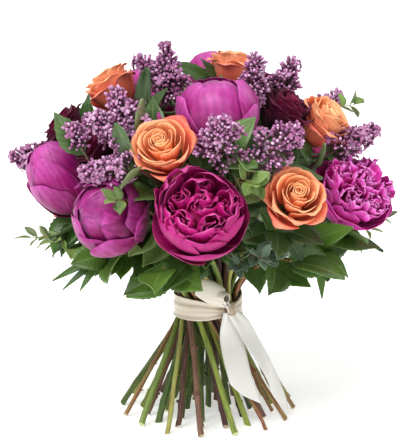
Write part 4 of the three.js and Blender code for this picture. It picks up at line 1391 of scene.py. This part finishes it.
def lilac_look():
    """Lilac florets: a dark tube, painted shade down between the buds, that swells to a paler tip,
    partly painted highlight, each with a tone of its own.
    """
    look = Look("lilac_florets", 0.55, Sheen_Weight=0.2)
    _, along, _ = look.read("place")
    tone, paleness, _ = look.read("trait")
    # The dark first stops are painted shade between the buds. The light last stops are partly painted
    # highlight, most of all the whitish tips of the pale buds.
    closed = look.ramp(along, {0.0: (54, 12, 32), 0.6: (94, 28, 66), 1.0: (182, 100, 160)})
    pale = look.ramp(along, {0.0: (72, 20, 48), 0.6: (142, 64, 120), 1.0: (250, 208, 244)})
    color = look.shaded(look.mix(paleness, closed, pale), tone * 0.4 + 0.8)
    look.bump(look.noise(900), 0.2, 0.0003)
    return look.paint(color)


# In the petal colours below, the dark first stops are painted shade where the petals overlap. The light
# last stops are partly painted highlight, the pale colour is the painted highlights' colour, and a rim
# setting paints highlight along the petals' edges.
BUD_SURFACE_AND_RIM_HIGHLIGHT = {"roughness": 0.42, "tones": 0.38, "rim": 0.4, "veins": 0.4}
peony_pink = petal_look(
    "peony_pink",
    {0.0: (96, 4, 56), 0.5: (160, 22, 108), 1.0: (196, 62, 152)},
    {0.0: (96, 0, 54), 0.4: (130, 6, 82), 0.7: (156, 24, 114), 1.0: (192, 76, 162)},
    back=(146, 12, 96),
    pale=(214, 118, 194),
    **BUD_SURFACE_AND_RIM_HIGHLIGHT,
)
peony_dusk = petal_look(
    "peony_dusk",
    {0.0: (78, 0, 40), 0.5: (130, 10, 82), 1.0: (166, 44, 122)},
    {0.0: (78, 0, 40), 0.4: (100, 0, 58), 0.7: (124, 6, 82), 1.0: (156, 42, 124)},
    back=(116, 2, 70),
    pale=(204, 110, 186),
    **BUD_SURFACE_AND_RIM_HIGHLIGHT,
)
peony_deep = petal_look(
    "peony_deep",
    {0.0: (112, 0, 56), 0.5: (172, 0, 98), 0.85: (188, 6, 116), 1.0: (228, 100, 174)},
    {0.0: (116, 0, 62), 0.5: (150, 0, 90), 0.9: (166, 12, 108), 1.0: (212, 88, 160)},
    back=(170, 0, 98),
    pale=(208, 58, 152),
    roughness=0.45,
    rim=0.3,
)
peony_ruffle = petal_look(
    "peony_ruffle",
    {0.0: (160, 0, 98), 0.5: (210, 30, 158), 0.8: (234, 106, 208), 1.0: (248, 182, 238)},
    {0.0: (150, 2, 92), 0.5: (194, 24, 138), 0.9: (208, 54, 162), 1.0: (234, 128, 206)},
    back=(200, 18, 142),
    pale=(240, 154, 226),
)
rose_orange = petal_look(
    "rose_orange",
    {0.0: (252, 108, 68), 0.5: (255, 166, 104), 1.0: (255, 214, 160)},
    {0.0: (248, 104, 74), 0.5: (246, 98, 84), 1.0: (240, 86, 92)},
    back=(255, 174, 118),
    pale=(255, 206, 156),
    tones=0.14,
    bare=0.55,
)
rose_red = petal_look(
    "rose_red",
    {0.0: (40, 0, 18), 0.6: (92, 2, 42), 1.0: (134, 10, 62)},
    {0.0: (30, 2, 16), 0.6: (54, 4, 32), 1.0: (86, 12, 50)},
    back=(74, 4, 38),
    pale=(108, 22, 64),
    roughness=0.6,
)
lilac_florets = lilac_look()
lemon_green = leaf_look("lemon_leaf", (38, 68, 24), (90, 128, 46), (140, 164, 94), gloss=0.33)
rose_green = leaf_look("rose_leaf", (32, 58, 30), (74, 108, 48), (126, 146, 102))
peony_green = leaf_look("peony_leaf", (30, 56, 28), (70, 108, 40), (122, 146, 90), gloss=0.33)
lilac_green = leaf_look("lilac_leaf", (52, 82, 40), (106, 140, 72), (156, 172, 122))
sprig_green = leaf_look("sprig_leaf", (66, 92, 46), (138, 166, 84), (162, 176, 124), gloss=0.42)
olive_green = leaf_look("olive_leaf", (46, 70, 54), (92, 118, 92), (150, 164, 142), gloss=0.5)
stem_green = bark_look("stem_green", (146, 160, 64), (62, 88, 32), (206, 208, 156), 0.5)
stem_rose = bark_look("stem_rose", (112, 132, 54), (48, 70, 32), (198, 194, 142), 0.45)
stem_wood = bark_look("stem_wood", (126, 90, 70), (66, 34, 38), (172, 148, 116), 0.65)
stem_mixed = bark_look("stem_mixed", (152, 156, 76), (136, 70, 56), (196, 186, 140), 0.55)
cream_satin = satin_look()
garden_twine = twine_look()

# ---------------------------------------------------------------- putting the bouquet together

FLOWERS = {
    "peony_open": (open_peony, peony_deep, "peony_petals"),
    "peony_ruffled": (ruffled_peony, peony_ruffle, "peony_petals"),
    "peony_bud": (peony_bud, peony_pink, "peony_petals"),
    "rose_orange": (rose, rose_orange, "orange_rose_petals"),
    "rose_red": (rose, rose_red, "red_rose_petals"),
}
BARKS = {
    "peony": stem_green,
    "rose": stem_rose,
    "lilac": stem_wood,
    "lemon_leaf": stem_mixed,
    "sprig": stem_mixed,
}
# Girth and height of the buds that are not quite round.
STRETCH = {"peony_bud_left": (0.88, 1.14), "peony_bud_front_left": (1, 0.97), "peony_bud_crown": (1, 0.95)}
DUSKY_BUDS = ("peony_bud_front_left", "peony_bud_back_left")
# Flowers whose middles lie further back than this get coarser meshes.
BACK_FROM = 40
FRONT_DETAIL, BACK_DETAIL = 0.82, 0.55
# Panicles, in the stem's size: how long, how wide, and how wide on the slim ones.
PANICLE_LENGTH, PANICLE_WIDTH, SLIM_WIDTH = 3.0, 1.1, 0.92
SLIM_LILACS = ("lilac_crown_left", "lilac_crown_right")
BARE_SHARE = {"lilac_left": 0.45}
LEAFLESS = ("lilac_left", "lilac_right")


def dress(stem):
    """Makes the pieces of one cut stem: bark, flower and leaves."""
    bark, bloom, greens = Shape(), Shape(), Shape()
    name, node, rand = stem.name, [stem.name], stem.random
    bark_tube(bark, stem)
    if stem.kind in FLOWERS:
        build, material, slot = FLOWERS[stem.kind]
        material = peony_dusk if name in DUSKY_BUDS else material
        detail = FRONT_DETAIL if stem.middle[1] < BACK_FROM else BACK_DETAIL
        stretch = STRETCH.get(name, (1.0, 1.0))
        build(Flower(bloom, rand, stem.middle, stem.axis, stem.size, stretch, name, detail))
        settle(bloom.object(name + ".petals", material), node, slot)
        leaf_green, measures = (rose_green, ROSE_SEPALS) if "rose" in name else (peony_green, PEONY_SEPALS)
        sepals(greens, stem, *measures)
    elif stem.kind == "lilac":
        width = stem.size * (SLIM_WIDTH if name in SLIM_LILACS else PANICLE_WIDTH)
        length = stem.size * PANICLE_LENGTH
        for axis in stem.axes:
            panicle(bloom, bark, stem.top, axis, length, width, rand, BARE_SHARE.get(name, 0.0))
        settle(bloom.object(name + ".florets", lilac_florets), node, "lilac_florets")
        leaf_green = lilac_green
    elif stem.kind == "lemon_leaf":
        first = 1 if name == WITHOUT_END_LEAF else 0
        last = 3 if name in SHOWN_LEAVES else 6
        for at, turn, *measures in LEMON_LEAVES[first:last]:
            leaf_on_stem(greens, stem, at, outward_bearing(stem.bend(at)) + turn, *measures)
        leaf_green = lemon_green
    else:
        sprig(greens, bark, stem)
        leaf_green = olive_green if "olive" in name else sprig_green
    if stem.kind in COLLARS and name not in LEAFLESS:
        collar(greens, stem)
        inner_leaves(greens, stem)
    for measures in SHOWN_LEAVES.get(name, []):
        leaf_on_stem(greens, stem, *measures, outwards=SHOWN_FACING)
    if greens.points:
        settle(greens.object(name + ".leaves", leaf_green), node, "leaves")
    settle(bark.object(name + ".stem", BARKS[next(kind for kind in BARKS if kind in name)]), node, "stems")


for stem in stems:
    dress(stem)

settle(twine().object("twine_turns", garden_twine), ["binding_twine"], "twine")
band = settle(ribbon_band().object("ribbon_wrap", cream_satin), ["ribbon_band"], "satin_ribbon")

# Bearing, height, twist and width of each tail at five stations, from the knot down.
FRONT_TAIL = [(31, 114, 0, 14), (32, 96, -4, 25), (31, 75, -6, 27), (30, 55, -4, 27), (31, 34, 0, 27)]
SIDE_TAIL = [(33, 114, 0, 12), (48, 96, 0, 20), (58, 68, 4, 26), (60, 42, 4, 27), (60, 20, 6, 27)]
front_tail = tail(FRONT_TAIL, ripple=0.9)
side_tail = tail(SIDE_TAIL, ripple=1.4, swing=8)
tall_loop = loop((2, 48, 136), facing=74, dip=15, tall=28, deep=13, width=RIBBON_WIDTH)
small_loop = loop((14, 52, 134), facing=38, dip=0, tall=17, deep=14, width=19, turns=1.4)
# The bow: each piece, the length of ribbon in it in millimetres, how it is held and what it lies on.
BOW = {
    "bow_loop_tall": (tall_loop, 96, "folded", ["ribbon_wrap", "bow_knot"]),
    "bow_loop_small": (small_loop, 62, "folded", ["bow_loop_tall", "bow_knot"]),
    "bow_knot": (knot(), 42, "folded", ["ribbon_wrap"]),
    "bow_tail_front": (front_tail, 92, "hung", ["bow_knot"]),
    "bow_tail_side": (side_tail, 112, "hung", ["bow_knot"]),
}
for name, (shape, *_) in BOW.items():
    settle(shape.object(name, cream_satin), ["ribbon_bow"], "satin_ribbon")
for name, (_, length, held, rests_on) in BOW.items():
    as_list(rests_on)

# ---------------------------------------------------------------- floor, light and camera


def sun(name, bearing, climb, width, power):
    """A broad, soft light from far away, so that the floor is as bright all over."""
    light = bpy.data.lights.new(name, "SUN")
    light.angle = math.radians(width)
    light.energy = power
    holder = bpy.data.objects.new(name, light)
    at = direction(bearing, climb)
    holder.location = at
    holder.rotation_mode = "QUATERNION"
    holder.rotation_quaternion = Vector(-at).to_track_quat("-Z", "Y")
    bpy.context.scene.collection.objects.link(holder)


sun("key", -38, 58, 40, 2.7)
sun("fill", 48, 30, 50, 0.5)
sun("top", 180, 66, 40, 0.5)

WHITE = (1.0, 1.0, 1.0, 1.0)
bpy.ops.mesh.primitive_plane_add(size=60, location=(0, 0, -0.0005))
floor = bpy.context.object
floor.name = "studio_floor"
paper = Look("studio_floor", 0.8, Emission_Color=WHITE, Emission_Strength=0.45)
floor.data.materials.append(paper.paint((250, 250, 250)))

world = bpy.data.worlds.new("studio")
bpy.context.scene.world = world
world.use_nodes = True
world.node_tree.nodes["Background"].inputs["Color"].default_value = WHITE
world.node_tree.nodes["Background"].inputs["Strength"].default_value = 0.4
bpy.context.scene.view_settings.view_transform = "Standard"

CAMERA_DISTANCE = 2.0
CAMERA_CLIMB = 15
AIM_HEIGHT = 0.198
VIEW_HEIGHT = 0.441

camera_data = bpy.data.cameras.new("camera")
camera_data.sensor_width = 36.0
camera_data.lens = 36.0 / (VIEW_HEIGHT / CAMERA_DISTANCE)
camera = bpy.data.objects.new("camera", camera_data)
camera.location = AXIS + UP * AIM_HEIGHT + direction(0, CAMERA_CLIMB) * CAMERA_DISTANCE
camera.rotation_euler = (math.radians(90 - CAMERA_CLIMB), 0, 0)
bpy.context.scene.collection.objects.link(camera)
bpy.context.scene.camera = camera
